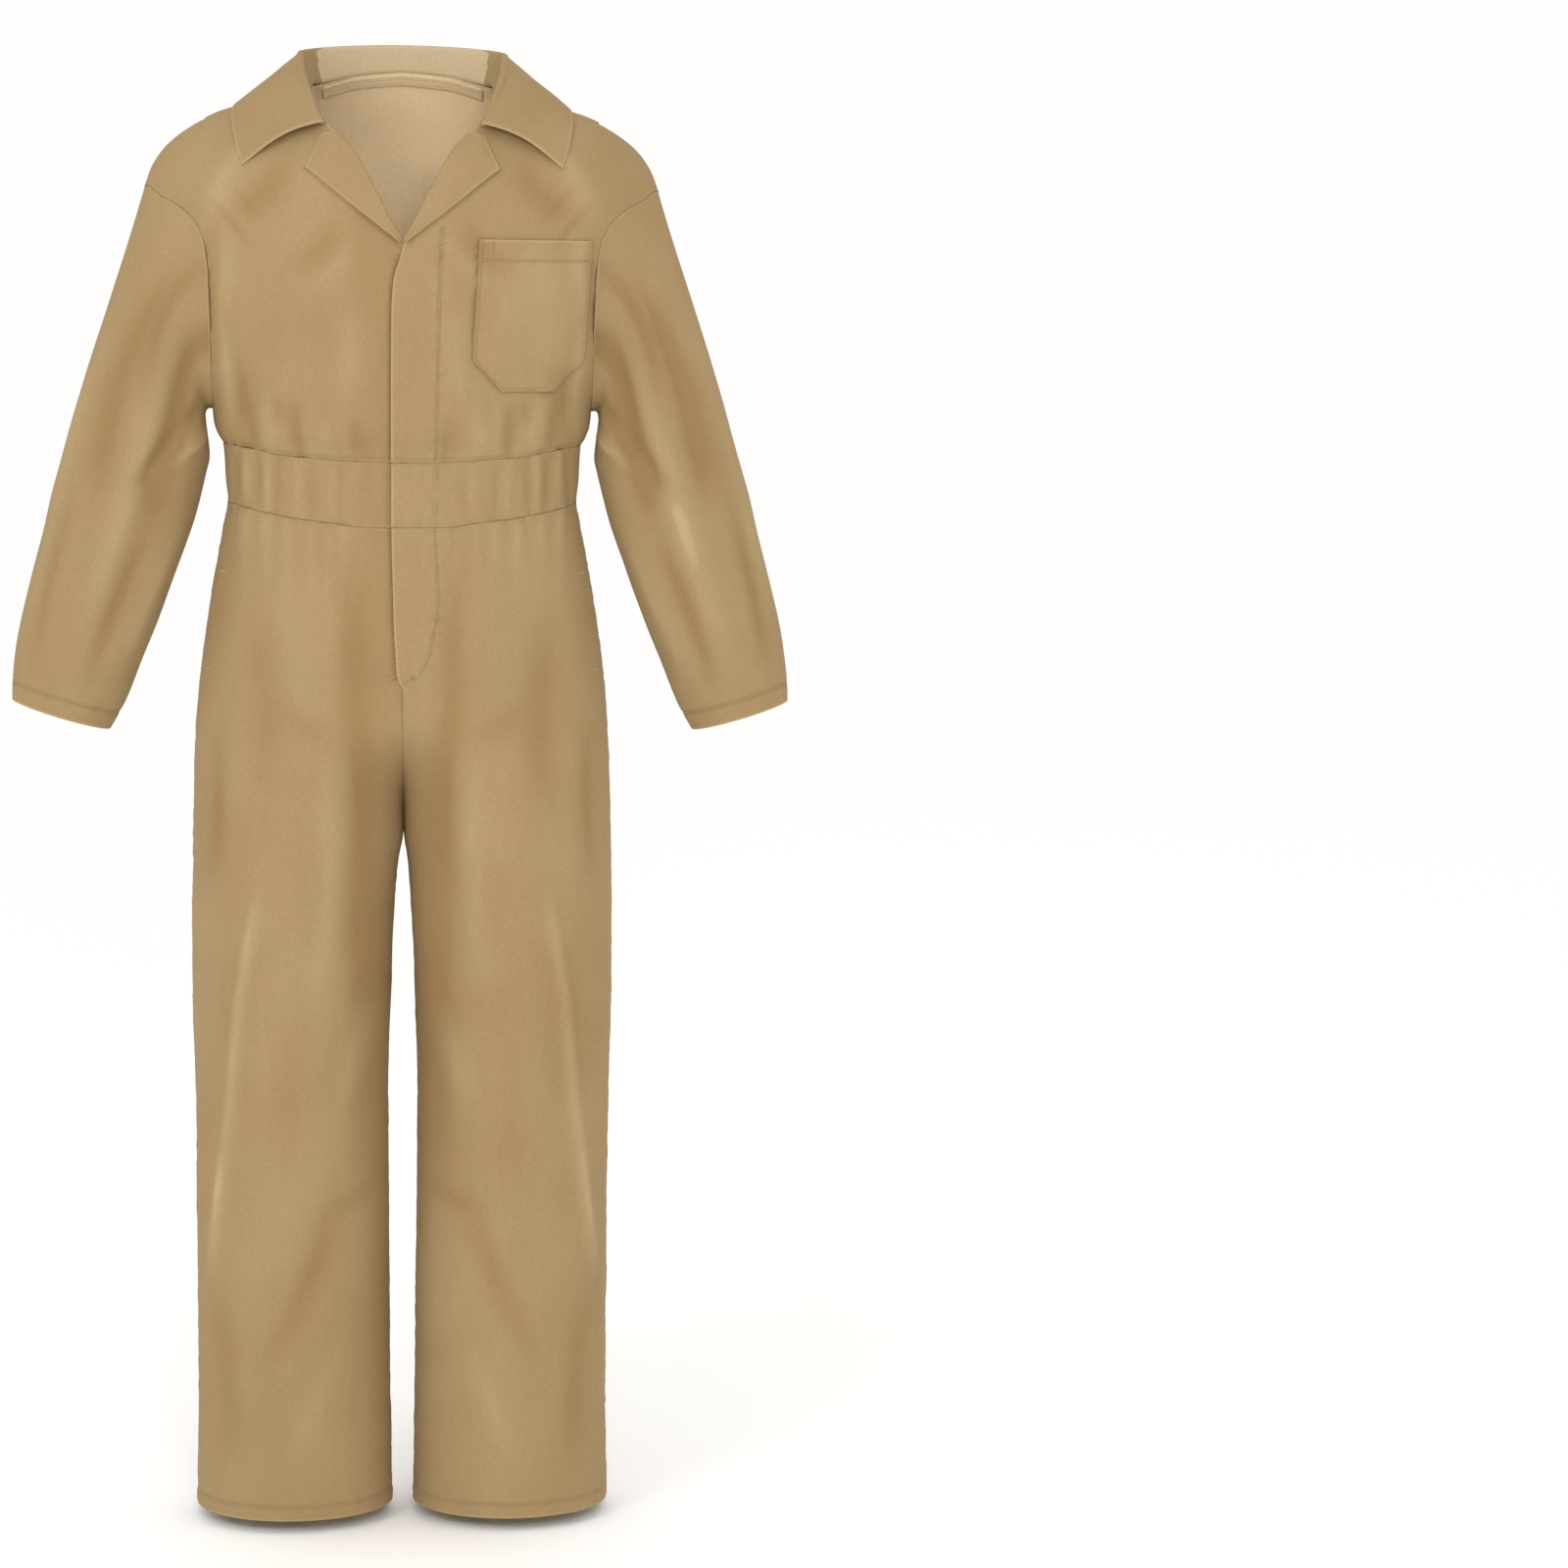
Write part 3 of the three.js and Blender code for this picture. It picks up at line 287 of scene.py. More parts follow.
# Gathers that a seam or an elastic draws in: x, half width, reach, height
FRONT_GATHERS = [
    (58, 5, 22, 1.6), (74, 5, 30, 2), (92, 6, 26, 2.4), (115, 6, 34, 3), (138, 6, 30, 3),
    (158, 6, 36, 3.2),
]
BACK_GATHERS = [
    (104, 6, 34, 2.2), (122, 6, 48, 2.8), (138, 5, 66, 3.6), (149, 4.5, 80, 3.6),
    (159, 4, 70, 3.4), (168, 3.6, 84, 3),
]
ELASTIC_FROM_X = 138.0
ELASTIC_RIBS = 8
ELASTIC_RIB_HEIGHT = 1.5


def fold_relief(folds, x, z):
    height = np.zeros(np.broadcast(x, z).shape)
    for from_x, from_z, to_x, to_z, half_width, rise, bow in folds:
        run_x, run_z = to_x - from_x, to_z - from_z
        length = math.hypot(run_x, run_z)
        along = ((x - from_x) * run_x + (z - from_z) * run_z) / length**2
        on_line = np.clip(along, 0.0, 1.0)
        side = ((x - from_x) * run_z - (z - from_z) * run_x) / length
        off = side - bow * np.sin(math.pi * on_line)
        away = np.hypot(off, (along - on_line) * length)
        width = half_width * np.where(off > 0, 1.15, 0.85)
        fade = np.sin(math.pi * np.clip(along, 0.02, 0.98)) ** 0.6
        height += rise * fade * np.exp(-((away / width) ** 2))
    return height


def gather_relief(gathers, x, from_seam):
    height = np.zeros(np.broadcast(x, from_seam).shape)
    from_seam = np.maximum(from_seam, 0.0)
    for at_x, half_width, reach, rise in gathers:
        swell = (1 - np.exp(-from_seam / 7)) * np.exp(-from_seam / reach)
        height += rise * swell * np.exp(-(((x - at_x) / half_width) ** 2))
    return height


def ripple(across, down, size, seed):
    """Smooth uneven swelling from -1 to 1, with its bumps about one size apart."""
    lattice = np.random.RandomState(seed).uniform(-1, 1, (48, 48))
    turned = 0.4 * down + across
    fallen = down - 0.4 * across
    u, v = turned / size + 17.3, fallen / size + 31.7
    column, row = np.floor(u).astype(int), np.floor(v).astype(int)
    du, dv = u - column, v - row
    du, dv = du * du * (3 - 2 * du), dv * dv * (3 - 2 * dv)
    pick = lambda i, j: lattice[(row + i) % 48, (column + j) % 48]
    top = lerp(pick(0, 0), pick(0, 1), du)
    low = lerp(pick(1, 0), pick(1, 1), du)
    return lerp(top, low, dv)


def uneven(across, down, seed):
    """The slight waviness of cloth that hangs free."""
    return 0.6 * ripple(across, down, 95, seed) + 0.32 * ripple(across, down, 38, seed + 1)


def line_distance(x, z, places):
    """Distance from each place on the cloth to a line through the given places."""
    nearest = np.full(np.broadcast(x, z).shape, 1e3)
    for (from_x, from_z), (to_x, to_z) in zip(places, places[1:]):
        run_x, run_z = to_x - from_x, to_z - from_z
        along = ((x - from_x) * run_x + (z - from_z) * run_z) / (run_x**2 + run_z**2)
        along = np.clip(along, 0.0, 1.0)
        away = np.hypot(x - from_x - along * run_x, z - from_z - along * run_z)
        nearest = np.minimum(nearest, away)
    return nearest


# The body above the waist, as a field that is below zero inside it
def shoulder_round(drop):
    left = 1 - np.minimum(1.0, drop / SHOULDER_ROUND)
    return 1 - left * left


def body_depth(x, z, side):
    across = 1 - (x / SECTIONS.read("halfWidth", z)) ** 2
    over = shoulder_round(SHOULDER.read("z", np.abs(x)) - z)
    return SECTIONS.read(side, z) * np.sqrt(np.maximum(0, across) * np.maximum(0, over))


def body_field(x, y, z):
    depth = np.where(y < 0, SECTIONS.read("front", z), SECTIONS.read("back", z))
    across = 1 - (x / SECTIONS.read("halfWidth", z)) ** 2
    over = shoulder_round(SHOULDER.read("z", np.abs(x)) - z)
    return (y / depth) ** 2 - across * over


def body_slope(points):
    x, y, z = points[..., 0], points[..., 1], points[..., 2]
    step = 0.5
    return np.stack([
        body_field(x + step, y, z) - body_field(x - step, y, z),
        body_field(x, y + step, z) - body_field(x, y - step, z),
        body_field(x, y, z + step) - body_field(x, y, z - step),
    ], axis=-1) / (2 * step)


def body_place(x, z, side):
    """Points and outward directions of the body's surface, seen from the front at x and z."""
    x, z = np.broadcast_arrays(np.asarray(x, float), np.asarray(z, float))
    depth = np.maximum(HALF_SEAM, body_depth(x, z, side))
    points = np.stack([x, -depth if side == "front" else depth, z], axis=-1)
    return points, unit(body_slope(points))


def clear_of_body(points, distance):
    """Moves points out of the body until they are that far from its surface."""
    moved = points.copy()
    for _ in range(4):
        slope = body_slope(moved)
        steep = np.linalg.norm(slope, axis=-1)
        gap = body_field(moved[..., 0], moved[..., 1], moved[..., 2]) / steep
        push = np.maximum(0.0, distance - gap)
        moved += unit(slope) * push[..., None]
    return moved


def share_down(top, x, z):
    high = top.read("z", abs(x))
    return float((high - z) / (high - WAIST_TOP.read("z", abs(x))))


def edge_by_share(top, edge):
    return Table(("share", "x"), [(share_down(top, x, z), x) for x, z in edge])


def height_at(top, x, share):
    high = top.read("z", np.abs(x))
    low = WAIST_TOP.read("z", np.abs(x)) + HALF_SEAM
    return lerp(high, low, share)


UNDERARM_SHARE = share_down(SHOULDER, UNDERARM_X, UNDERARM_Z)
ARMHOLE_BY_SHARE = edge_by_share(SHOULDER, ARMHOLE)
PLEAT_BY_SHARE = edge_by_share(BACK_TOP, PLEAT_EDGE)


def outer_edge_x(shares):
    x = np.full(shares.shape, UNDERARM_X)
    for _ in range(8):
        x = SECTIONS.read("halfWidth", height_at(SHOULDER, x, shares))
    return np.where(shares <= UNDERARM_SHARE, ARMHOLE_BY_SHARE.read("x", shares), x)


def bodice_shares(count):
    """Rows from the shoulder to the waist seam, closer where the cloth turns over the ridge."""
    shares = np.linspace(0, 1, count) ** 1.6
    nearest = np.argmin(np.abs(shares - UNDERARM_SHARE))
    shares[nearest] = UNDERARM_SHARE
    return shares


# Lines of painted shade along seams and painted shadow where one layer ends on another: how wide they
# # are in millimetres, and how deep their tone is
SEAM_SHADE = 1.6
SEAM_TONE = 0.5
LAP_SHADE = 2.4
LAP_SHADE_AWAY = 1.0
LAP_TONE = 0.85
LAPEL_SHADE = 2.0
LAPEL_TONE = 0.55
POCKET_TONE = 0.6
LEG_SEAM_TONE = 0.7
FAR_AWAY = 99.0


# A piece in the making: a grid of points with outward directions, rows down and columns across
class Panel:
    def __init__(self, points, normals, closed=False):
        self.points = points
        self.normals = normals
        self.closed = closed
        self.relief = np.zeros(points.shape[:2])
        self.fold = np.zeros(points.shape[:2])
        self.seam = np.zeros(points.shape[:2])
        step_x = np.linalg.norm(np.diff(points, axis=1), axis=-1)
        step_z = np.linalg.norm(np.diff(points, axis=0), axis=-1)
        rows, columns = points.shape[:2]
        self.across = np.concatenate([np.zeros((rows, 1)), np.cumsum(step_x, 1)], 1)
        self.down = np.concatenate([np.zeros((1, columns)), np.cumsum(step_z, 0)], 0)

    def edge_distance(self, side):
        return {
            "top": self.down,
            "bottom": self.down[-1:] - self.down,
            "left": self.across,
            "right": self.across[:, -1:] - self.across,
        }[side]

    def pucker(self, side, height, seed, reach=9.0, size=7.0, tone=SEAM_TONE):
        """The small uneven ridges that a line of stitches draws up beside a seam, with painted shade
        along it.
        """
        away = self.edge_distance(side)
        along = self.across if side in ("top", "bottom") else self.down
        self.raise_cloth(height * np.exp(-away / reach) * ripple(along, 0 * along, size, seed))
        self.mark_seam(side, tone)

    def mark_seam(self, side, tone):
        self.shade_line(self.edge_distance(side), tone)

    def shade_line(self, away, tone, width=SEAM_SHADE):
        """Paints shade where the distance away is 0: painted shadow where another layer ends, painted
        shade along a seam.
        """
        self.seam = np.maximum(self.seam, tone * np.exp(-((away / width) ** 2)))

    def raise_cloth(self, height, share=1.0):
        """Raises the cloth along its directions. The share says how much of that is a fold."""
        self.relief = self.relief + height
        self.fold = self.fold + height * share

    def sew_down(self, away, depth, seed, width=1.4, drawn=0.5, tone=0.55):
        """A line of stitches where the distance away is 0: a groove with painted shade in it, drawn
        up unevenly beside it.
        """
        on_line = np.exp(-((away / width) ** 2))
        beside = np.exp(-np.abs(away) / 6)
        self.raise_cloth(drawn * ripple(self.across, self.down, 6.5, seed) * beside, 1.5)
        self.raise_cloth(-depth * on_line, 0.0)
        self.seam = np.maximum(self.seam, tone * on_line)

    def settle(self):
        """Moves the points out by the relief and turns the directions to the new surface."""
        self.points = self.points + self.normals * self.relief[..., None]
        if self.closed:
            around = np.roll(self.points, -1, 1) - np.roll(self.points, 1, 1)
        else:
            around = np.gradient(self.points, axis=1)
        facing = unit(np.cross(around, np.gradient(self.points, axis=0)))
        agree = np.sign(np.sum(facing * self.normals, axis=-1, keepdims=True))
        agree[agree == 0] = 1
        turned = unit(facing * agree)
        return turned

    def mirrored(self):
        twin = Panel(self.points * (-1, 1, 1), self.normals * (-1, 1, 1), self.closed)
        twin.relief, twin.fold, twin.seam = self.relief, self.fold, self.seam
        return twin

    def line_beside(self, side, inset):
        """Points and directions of the line that runs at that distance inside an edge."""
        away = self.edge_distance(side)
        lines = range(away.shape[1]) if side in ("top", "bottom") else range(away.shape[0])
        points, normals = [], []
        for i in lines:
            if side in ("top", "bottom"):
                reach, column, facing = away[:, i], self.points[:, i], self.normals[:, i]
            else:
                reach, column, facing = away[i], self.points[i], self.normals[i]
            order = np.argsort(reach)
            pick = lambda values: np.array(
                [np.interp(inset, reach[order], values[order, k]) for k in range(3)]
            )
            points.append(pick(column))
            normals.append(pick(facing))
        return np.array(points), unit(np.array(normals))


def rim_directions(points, loop, closed):
    """Directions in which the sheet ends at each place of its rim."""
    rows, columns = points.shape[:2]
    out = np.zeros((len(loop), 3))
    for n, (i, j) in enumerate(loop):
        if i == 0:
            out[n] += unit(points[0, j] - points[1, j])
        if i == rows - 1:
            out[n] += unit(points[-1, j] - points[-2, j])
        if not closed and j == 0:
            out[n] += unit(points[i, 0] - points[i, 1])
        if not closed and j == columns - 1:
            out[n] += unit(points[i, -1] - points[i, -2])
    return unit(out)


def sheet_loops(rows, columns, closed):
    if closed:
        top = [(0, j) for j in range(columns)]
        bottom = [(rows - 1, j) for j in reversed(range(columns))]
        return [top, bottom]
    return [
        [(0, j) for j in range(columns)]
        + [(i, columns - 1) for i in range(1, rows)]
        + [(rows - 1, j) for j in reversed(range(columns - 1))]
        + [(i, 0) for i in reversed(range(1, rows - 1))]
    ]


RIM_TURNS = (45.0, 0.0, -45.0)
RIM_CLOSE = 0.3
# RELIEF_FULL is the fold height, in millimetres, at which the painted shade in troughs and painted
# highlight on ridges are full; EDGE_REACH is how far from an edge the edge attribute, which drives
# the pale edge that is partly wear and partly painted highlight, rises to 1
RELIEF_FULL = 3.6
EDGE_REACH = 12.0


def cloth_object(name, panel, thickness, materials):
    """A closed shell of cloth on a panel, with rounded edges and its UV map in metres of cloth.

    Its attributes are edge (0 at an edge, 1 away from it: the pale edge, partly wear and partly
    painted highlight), fold (0 in a trough, 1 on a ridge: painted shade to painted highlight) and
    seam (1 on a line of stitches and where another layer ends: painted shade). Rims reach a little
    past the edge, so that seams meet.
    """
    facing = panel.settle()
    points = panel.points
    rows, columns = points.shape[:2]
    loops = sheet_loops(rows, columns, panel.closed)
    radius = thickness / 2
    rims = []
    for loop in loops:
        at_i = np.array([i for i, _ in loop])
        at_j = np.array([j for _, j in loop])
        out = rim_directions(points, loop, panel.closed)
        normal = facing[at_i, at_j]
        out = unit(out - normal * np.sum(out * normal, axis=-1, keepdims=True))
        rims.append((at_i, at_j, out, normal))
    outer = points.copy()
    for at_i, at_j, out, _ in rims:
        outer[at_i, at_j] = outer[at_i, at_j] - out * (radius - RIM_CLOSE)
    inner = outer - facing * thickness
    count = rows * columns
    verts = [outer.reshape(-1, 3), inner.reshape(-1, 3)]
    index = np.arange(count).reshape(rows, columns)
    wrapped = np.concatenate([index, index[:, :1]], 1) if panel.closed else index
    a, b = wrapped[:-1, :-1].ravel(), wrapped[:-1, 1:].ravel()
    c, d = wrapped[1:, 1:].ravel(), wrapped[1:, :-1].ravel()
    faces = [np.stack([a, b, c, d], 1), np.stack([a, d, c, b], 1) + count]
    marks = [np.zeros(len(a), int), np.ones(len(a), int)]
    total = 2 * count
    rim_uv_index = []
    for at_i, at_j, out, normal in rims:
        rail = index[at_i, at_j]
        centre = outer[at_i, at_j] - normal * radius
        lines = [rail]
        for turn in RIM_TURNS:
            angle = math.radians(turn)
            verts.append(centre + out * radius * math.cos(angle) + normal * radius * math.sin(angle))
            lines.append(np.arange(total, total + len(rail)))
            rim_uv_index.append(rail)
            total += len(rail)
        lines.append(rail + count)
        for upper, lower in zip(lines, lines[1:]):
            strip = [np.roll(upper, -1), upper, lower, np.roll(lower, -1)]
            faces.append(np.stack(strip, 1))
            marks.append(np.zeros(len(rail), int))
    verts = np.concatenate(verts)
    faces = np.concatenate(faces)
    marks = np.concatenate(marks)
    first = faces[:len(a)]
    cross = np.cross(verts[first[:, 1]] - verts[first[:, 0]], verts[first[:, 2]] - verts[first[:, 0]])
    if np.sum(cross * facing.reshape(-1, 3)[first[:, 0]]) < 0:
        faces = faces[:, ::-1]
    mesh = bpy.data.meshes.new(name)
    mesh.vertices.add(len(verts))
    mesh.vertices.foreach_set("co", (verts * MM).ravel())
    mesh.loops.add(faces.size)
    mesh.loops.foreach_set("vertex_index", faces.ravel())
    mesh.polygons.add(len(faces))
    mesh.polygons.foreach_set("loop_start", np.arange(0, faces.size, 4))
    mesh.update(calc_edges=True)
    for material in materials:
        mesh.materials.append(material)
    mesh.polygons.foreach_set("material_index", marks)
    mesh.polygons.foreach_set("use_smooth", np.ones(len(faces), bool))
    middle = columns // 2
    u = (panel.across - panel.across[:, middle:middle + 1]).ravel() * MM
    v = -panel.down.ravel() * MM
    nearest = np.minimum(panel.edge_distance("top"), panel.edge_distance("bottom"))
    if not panel.closed:
        side = np.minimum(panel.edge_distance("left"), panel.edge_distance("right"))
        nearest = np.minimum(nearest, side)
    edge = np.clip(nearest / EDGE_REACH, 0, 1).ravel()
    fold = np.clip(0.5 + panel.fold / (2 * RELIEF_FULL), 0, 1).ravel()
    rim_index = np.concatenate(rim_uv_index)
    spread = lambda values: np.concatenate([values, values, values[rim_index]])
    uv = np.stack([spread(u), spread(v)], 1)[faces.ravel()]
    mesh.uv_layers.new(name="cloth").data.foreach_set("uv", uv.ravel())
    for label, values in (("edge", edge), ("fold", fold), ("seam", panel.seam.ravel())):
        layer = mesh.attributes.new(label, "FLOAT", "POINT")
        layer.data.foreach_set("value", spread(values).astype(np.float32))
    mesh.validate()
    thing = bpy.data.objects.new(name, mesh)
    bpy.context.scene.collection.objects.link(thing)
    panel.normals = facing
    return thing


# How many cloth pieces the stitches wait for
CLOTH_PIECES = 22
# Panels and pieces as they are made, for the pieces and stitches that lie on them
PANELS = {}
PIECES = {}


def make_piece(name, node, panel, thickness, materials):
    piece = cloth_object(name, panel, thickness, materials)
    PANELS[name] = panel
    PIECES[name] = piece
    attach(piece, "root")
    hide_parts(node)
    return piece


def sew_piece(cloth, name, node, panel, across=1):
    """A piece of the suit's own cloth. With across below zero it is the panel's mirror image."""
    if across < 0:
        panel = panel.mirrored()
    return make_piece(
        name, node, panel, cloth.thickness_mm, cloth.faces,
    )


# The doubled cloth beside the front opening lies flat up to the first x, and waves from the second
FLAT_TO_X = 34.0
FREE_FROM_X = 70.0
FLY_FLAT_END_Z = -600.0


# Bodice
def middle_graded(fine_share, fine_steps, steps):
    """Places from 0 to 1, closer together up to the fine share."""
    near = np.linspace(0, fine_share, fine_steps, endpoint=False)
    return np.concatenate([near, np.linspace(fine_share, 1, steps)])


def front_relief(x, z, seed=11):
    away = np.abs(x)
    from_seam = z - WAIST_TOP.read("z", away)
    free = smooth(FLAT_TO_X, FREE_FROM_X, away)
    return (
        fold_relief(FRONT_FOLDS, away, z)
        + gather_relief(FRONT_GATHERS, away, from_seam)
        + uneven(x, z, seed) * free
    )


def back_relief(x, z):
    away = np.abs(x)
    from_seam = z - WAIST_TOP.read("z", away)
    lean = np.where(x < 0, 0.75, 1.0)
    return (
        fold_relief(BACK_FOLDS, away, z) * lean
        + gather_relief(BACK_GATHERS, away, from_seam)
        + uneven(x, z, 31)
    )


def lap_inset(x, from_share=1.0):
    return -UNDERLAP_INSET * smooth(UNDERLAP_FADE, UNDERLAP_FULL, x) * from_share


PLACKET_RAISE = 0.7


def raise_placket(panel, x, z, seed, share=1.0):
    """The doubled cloth between the front edge and its line of stitches."""
    line = FLY_STITCH.read("x", z)
    below = smooth(-126, -140, z) * share
    panel.raise_cloth(PLACKET_RAISE * smooth(line + 1.5, line - 1.5, x) * below, 0.0)
    away = np.where(below > 0.02, x - line, FAR_AWAY)
    panel.sew_down(away, 0.6, seed, drawn=1.1)


# Where another layer ends on a front, a painted shadow is drawn beside it: the upper front's edge on
# # the under one, the lapel's edge and the chest pocket's
LAP_LINE = [(-x, z) for x, z in LAP_EDGE]
LAPEL_LINE = [(96, -70), (79, -84), (58, -101), (33, -121), (4, -143)]
CHEST_LINE = [(74, -138), (67.5, -254), (96.5, -288), (150.5, -288), (179, -254), (187, -160)]


def bodice_front(edge, seed):
    shares = bodice_shares(100)
    inner = edge_by_share(SHOULDER, NECK_EDGE + edge).read("x", shares)
    turns = middle_graded(0.19, 30, 58)
    x = lerp(inner[:, None], outer_edge_x(shares)[:, None], np.sin(turns * math.pi / 2))
    z = height_at(SHOULDER, x, shares[:, None])
    panel = Panel(*body_place(x, z, "front"))
    panel.raise_cloth(front_relief(x, z, seed))
    panel.pucker("right", 0.7, seed + 3)
    panel.pucker("bottom", 1.2, seed + 4)
    # Painted shadow below the lapel's edge
    panel.shade_line(line_distance(x, z, LAPEL_LINE), LAPEL_TONE, LAPEL_SHADE)
    return panel, x, z


def make_bodice_fronts(cloth):
    panel, x, z = bodice_front(LAP_EDGE, 11)
    raise_placket(panel, x, z, 17)
    # Painted shadow around the chest pocket's edge
    panel.shade_line(line_distance(x, z, CHEST_LINE), POCKET_TONE)
    sew_piece(cloth, "front_left", "bodice_front_left", panel)
    panel, x, z = bodice_front(UNDERLAP_EDGE, 23)
    panel.raise_cloth(lap_inset(x, smooth(LAP_INSET_FROM_Z, LAP_INSET_FULL_Z, z)), 0.6)
    # Painted shadow beside the upper front's edge, on the under front
    beside_lap = line_distance(x, z, LAP_LINE) - LAP_SHADE_AWAY
    panel.shade_line(beside_lap, LAP_TONE, LAP_SHADE)
    sew_piece(cloth, "front_right", "bodice_front_right", panel, across=-1)


def make_bodice_back(cloth):
    shares = bodice_shares(96)
    edge = PLEAT_BY_SHARE.read("x", shares)[:, None]
    x = np.linspace(-1, 1, 93) * edge
    z = height_at(BACK_TOP, x, shares[:, None])
    panel = Panel(*body_place(x, z, "back"))
    lifted = PLEAT_RAISE * smooth(edge - 45, edge - 8, np.abs(x))
    panel.raise_cloth(lifted + back_relief(x, z) * smooth(edge, edge - 12, np.abs(x)))
    panel.pucker("bottom", 0.8, 52)
    sew_piece(cloth, "back", "bodice_back", panel)
    from_x = edge[:, 0] - PLEAT_UNDERLAP
    turns = np.linspace(0, 1, 26)
    x = lerp(from_x[:, None], outer_edge_x(shares)[:, None], np.sin(turns * math.pi / 2))
    z = height_at(SHOULDER, x, shares[:, None])
    under = smooth(edge + 14, edge + 2, x)
    for name, seed, across in (("left", 57, 1), ("right", 63, -1)):
        panel = Panel(*body_place(x, z, "back"))
        folds = fold_relief(BACK_SIDE_FOLDS, x, z) * (1.0 if across > 0 else 0.8)
        waves = 0.7 * uneven(x, z, seed)
        panel.raise_cloth(-PLEAT_SINK * under + (folds + waves) * (1 - under))
        panel.pucker("right", 0.6, seed + 1)
        sew_piece(
            cloth, f"back_side_{name}", f"bodice_back_side_{name}", panel,
            across=across,
        )


# Sleeve: its first ring is the armhole, and the others are ellipses across the arm
SLEEVE = Table(("z", "x", "halfWidth", "halfDepth", "tilt"), [
    (-345, 263, 71, 60, 15),
    (-400, 278, 72, 58, 15),
    (-450, 293, 69.5, 55, 16),
    (-500, 309, 67, 52, 16),
    (-550, 325, 63, 49, 16),
    (-590, 336, 58, 45, 16.5),
    (-618, 344, 51, 41, 17),
])
SLEEVE_TOP_Z = -345.0
CUFF_Z = -618.0
CUFF_HEM = 20.0


def armhole_ring(count):
    shares = UNDERARM_SHARE * np.linspace(0, 1, count) ** 1.25
    x = outer_edge_x(shares)
    z = height_at(SHOULDER, x, shares)
    front, front_out = body_place(x, z, "front")
    back, back_out = body_place(x, z, "back")
    front[0, 1] = front[-1, 1] = 0.0
    lengths = np.concatenate([[0], np.cumsum(np.linalg.norm(np.diff(front, axis=0), axis=-1))])
    turns = math.pi * lengths / lengths[-1]
    points = np.concatenate([front, back[-2:0:-1]])
    normals = np.concatenate([front_out, back_out[-2:0:-1]])
    return points, normals, np.concatenate([turns, 2 * math.pi - turns[-2:0:-1]])


def sleeve_ellipse(turn, z):
    tilt = np.radians(SLEEVE.read("tilt", z))
    out = SLEEVE.read("halfWidth", z) * np.cos(turn)
    return np.stack([
        SLEEVE.read("x", z) + out * np.cos(tilt),
        -SLEEVE.read("halfDepth", z) * np.sin(turn),
        z + out * np.sin(tilt),
    ], axis=-1)


def make_sleeves(cloth):
    ring, ring_out, turns = armhole_ring(58)
    count = len(ring)
    around = np.roll(ring, -1, 0) - np.roll(ring, 1, 0)
    out = unit(np.cross(around, ring_out))
    wrong = (out[:, 0] < 0) | ((np.abs(out[:, 0]) < 0.2) & (out[:, 2] > 0))
    out[wrong] *= -1
    for _ in range(3):
        out = unit(out + 0.5 * (np.roll(out, 1, 0) + np.roll(out, -1, 0)))
    z = SLEEVE_TOP_Z - 10
    down_arm = SLEEVE.read("x", z - 4) - SLEEVE.read("x", z + 4)
    arm = unit(np.array([float(down_arm), 0.0, -8.0]))
    start = ring + out * 2 * HALF_SEAM
    end = sleeve_ellipse(turns, np.full(count, SLEEVE_TOP_Z))
    length = np.linalg.norm(end - start, axis=-1, keepdims=True)
    leave = unit(out * 0.8 + arm * 0.6)
    k = (np.linspace(0, 1, 52) ** 1.1)[:, None, None]
    cap = (
        start * (1 + 2 * k) * (1 - k) ** 2
        + leave * length * k * (1 - k) ** 2
        + end * k * k * (3 - 2 * k)
        + arm * length * k * k * (k - 1)
    )
    levels = np.concatenate([
        np.linspace(SLEEVE_TOP_Z, CUFF_Z + CUFF_HEM + 4, 58)[1:],
        CUFF_Z + np.array([CUFF_HEM + 1.5, CUFF_HEM, CUFF_HEM - 1.5, 14, 9, 4, 0]),
    ])
    tube = sleeve_ellipse(turns[None, :], levels[:, None])
    points = np.concatenate([cap, tube])
    rows = np.gradient(points, axis=0)
    round_ring = np.roll(points, -1, 1) - np.roll(points, 1, 1)
    normals = unit(np.cross(round_ring, rows))
    middle = points.mean(axis=1, keepdims=True)
    facing = np.sum(normals * (points - middle), axis=-1, keepdims=True)
    normals = normals * np.where(facing < 0, -1, 1)
    normals[0] = ring_out
    degrees = np.degrees(np.where(turns > math.pi, turns - 2 * math.pi, turns))
    for name, seed, across in (("left", 71, 1), ("right", 83, -1)):
        panel = Panel(points.copy(), normals.copy(), closed=True)
        height = points[..., 2]
        fade = smooth(-92, -185, height) * smooth(CUFF_Z - 14, CUFF_Z + 30, height)
        fade[:2] = 0
        folds = fold_relief(SLEEVE_FOLDS, degrees[None, :], height)
        if across < 0:
            folds = folds * (0.85 + 0.25 * ripple(degrees[None, :], height, 120, seed + 2))
        panel.raise_cloth((folds + 0.8 * uneven(degrees[None, :], height, seed)) * fade)
        panel.pucker("top", 0.5, seed + 1)
        above_hem = panel.edge_distance("bottom")
        panel.raise_cloth(0.3 * smooth(CUFF_HEM + 1, CUFF_HEM - 1, above_hem), 0.0)
        panel.sew_down(above_hem - CUFF_HEM, 0.45, seed + 4)
        sew_piece(cloth, f"arm_{name}", f"sleeve_{name}", panel, across=across)


# Waistband. The left half's front edge lies this far beyond the middle.
BAND_LAP_X = 11.5
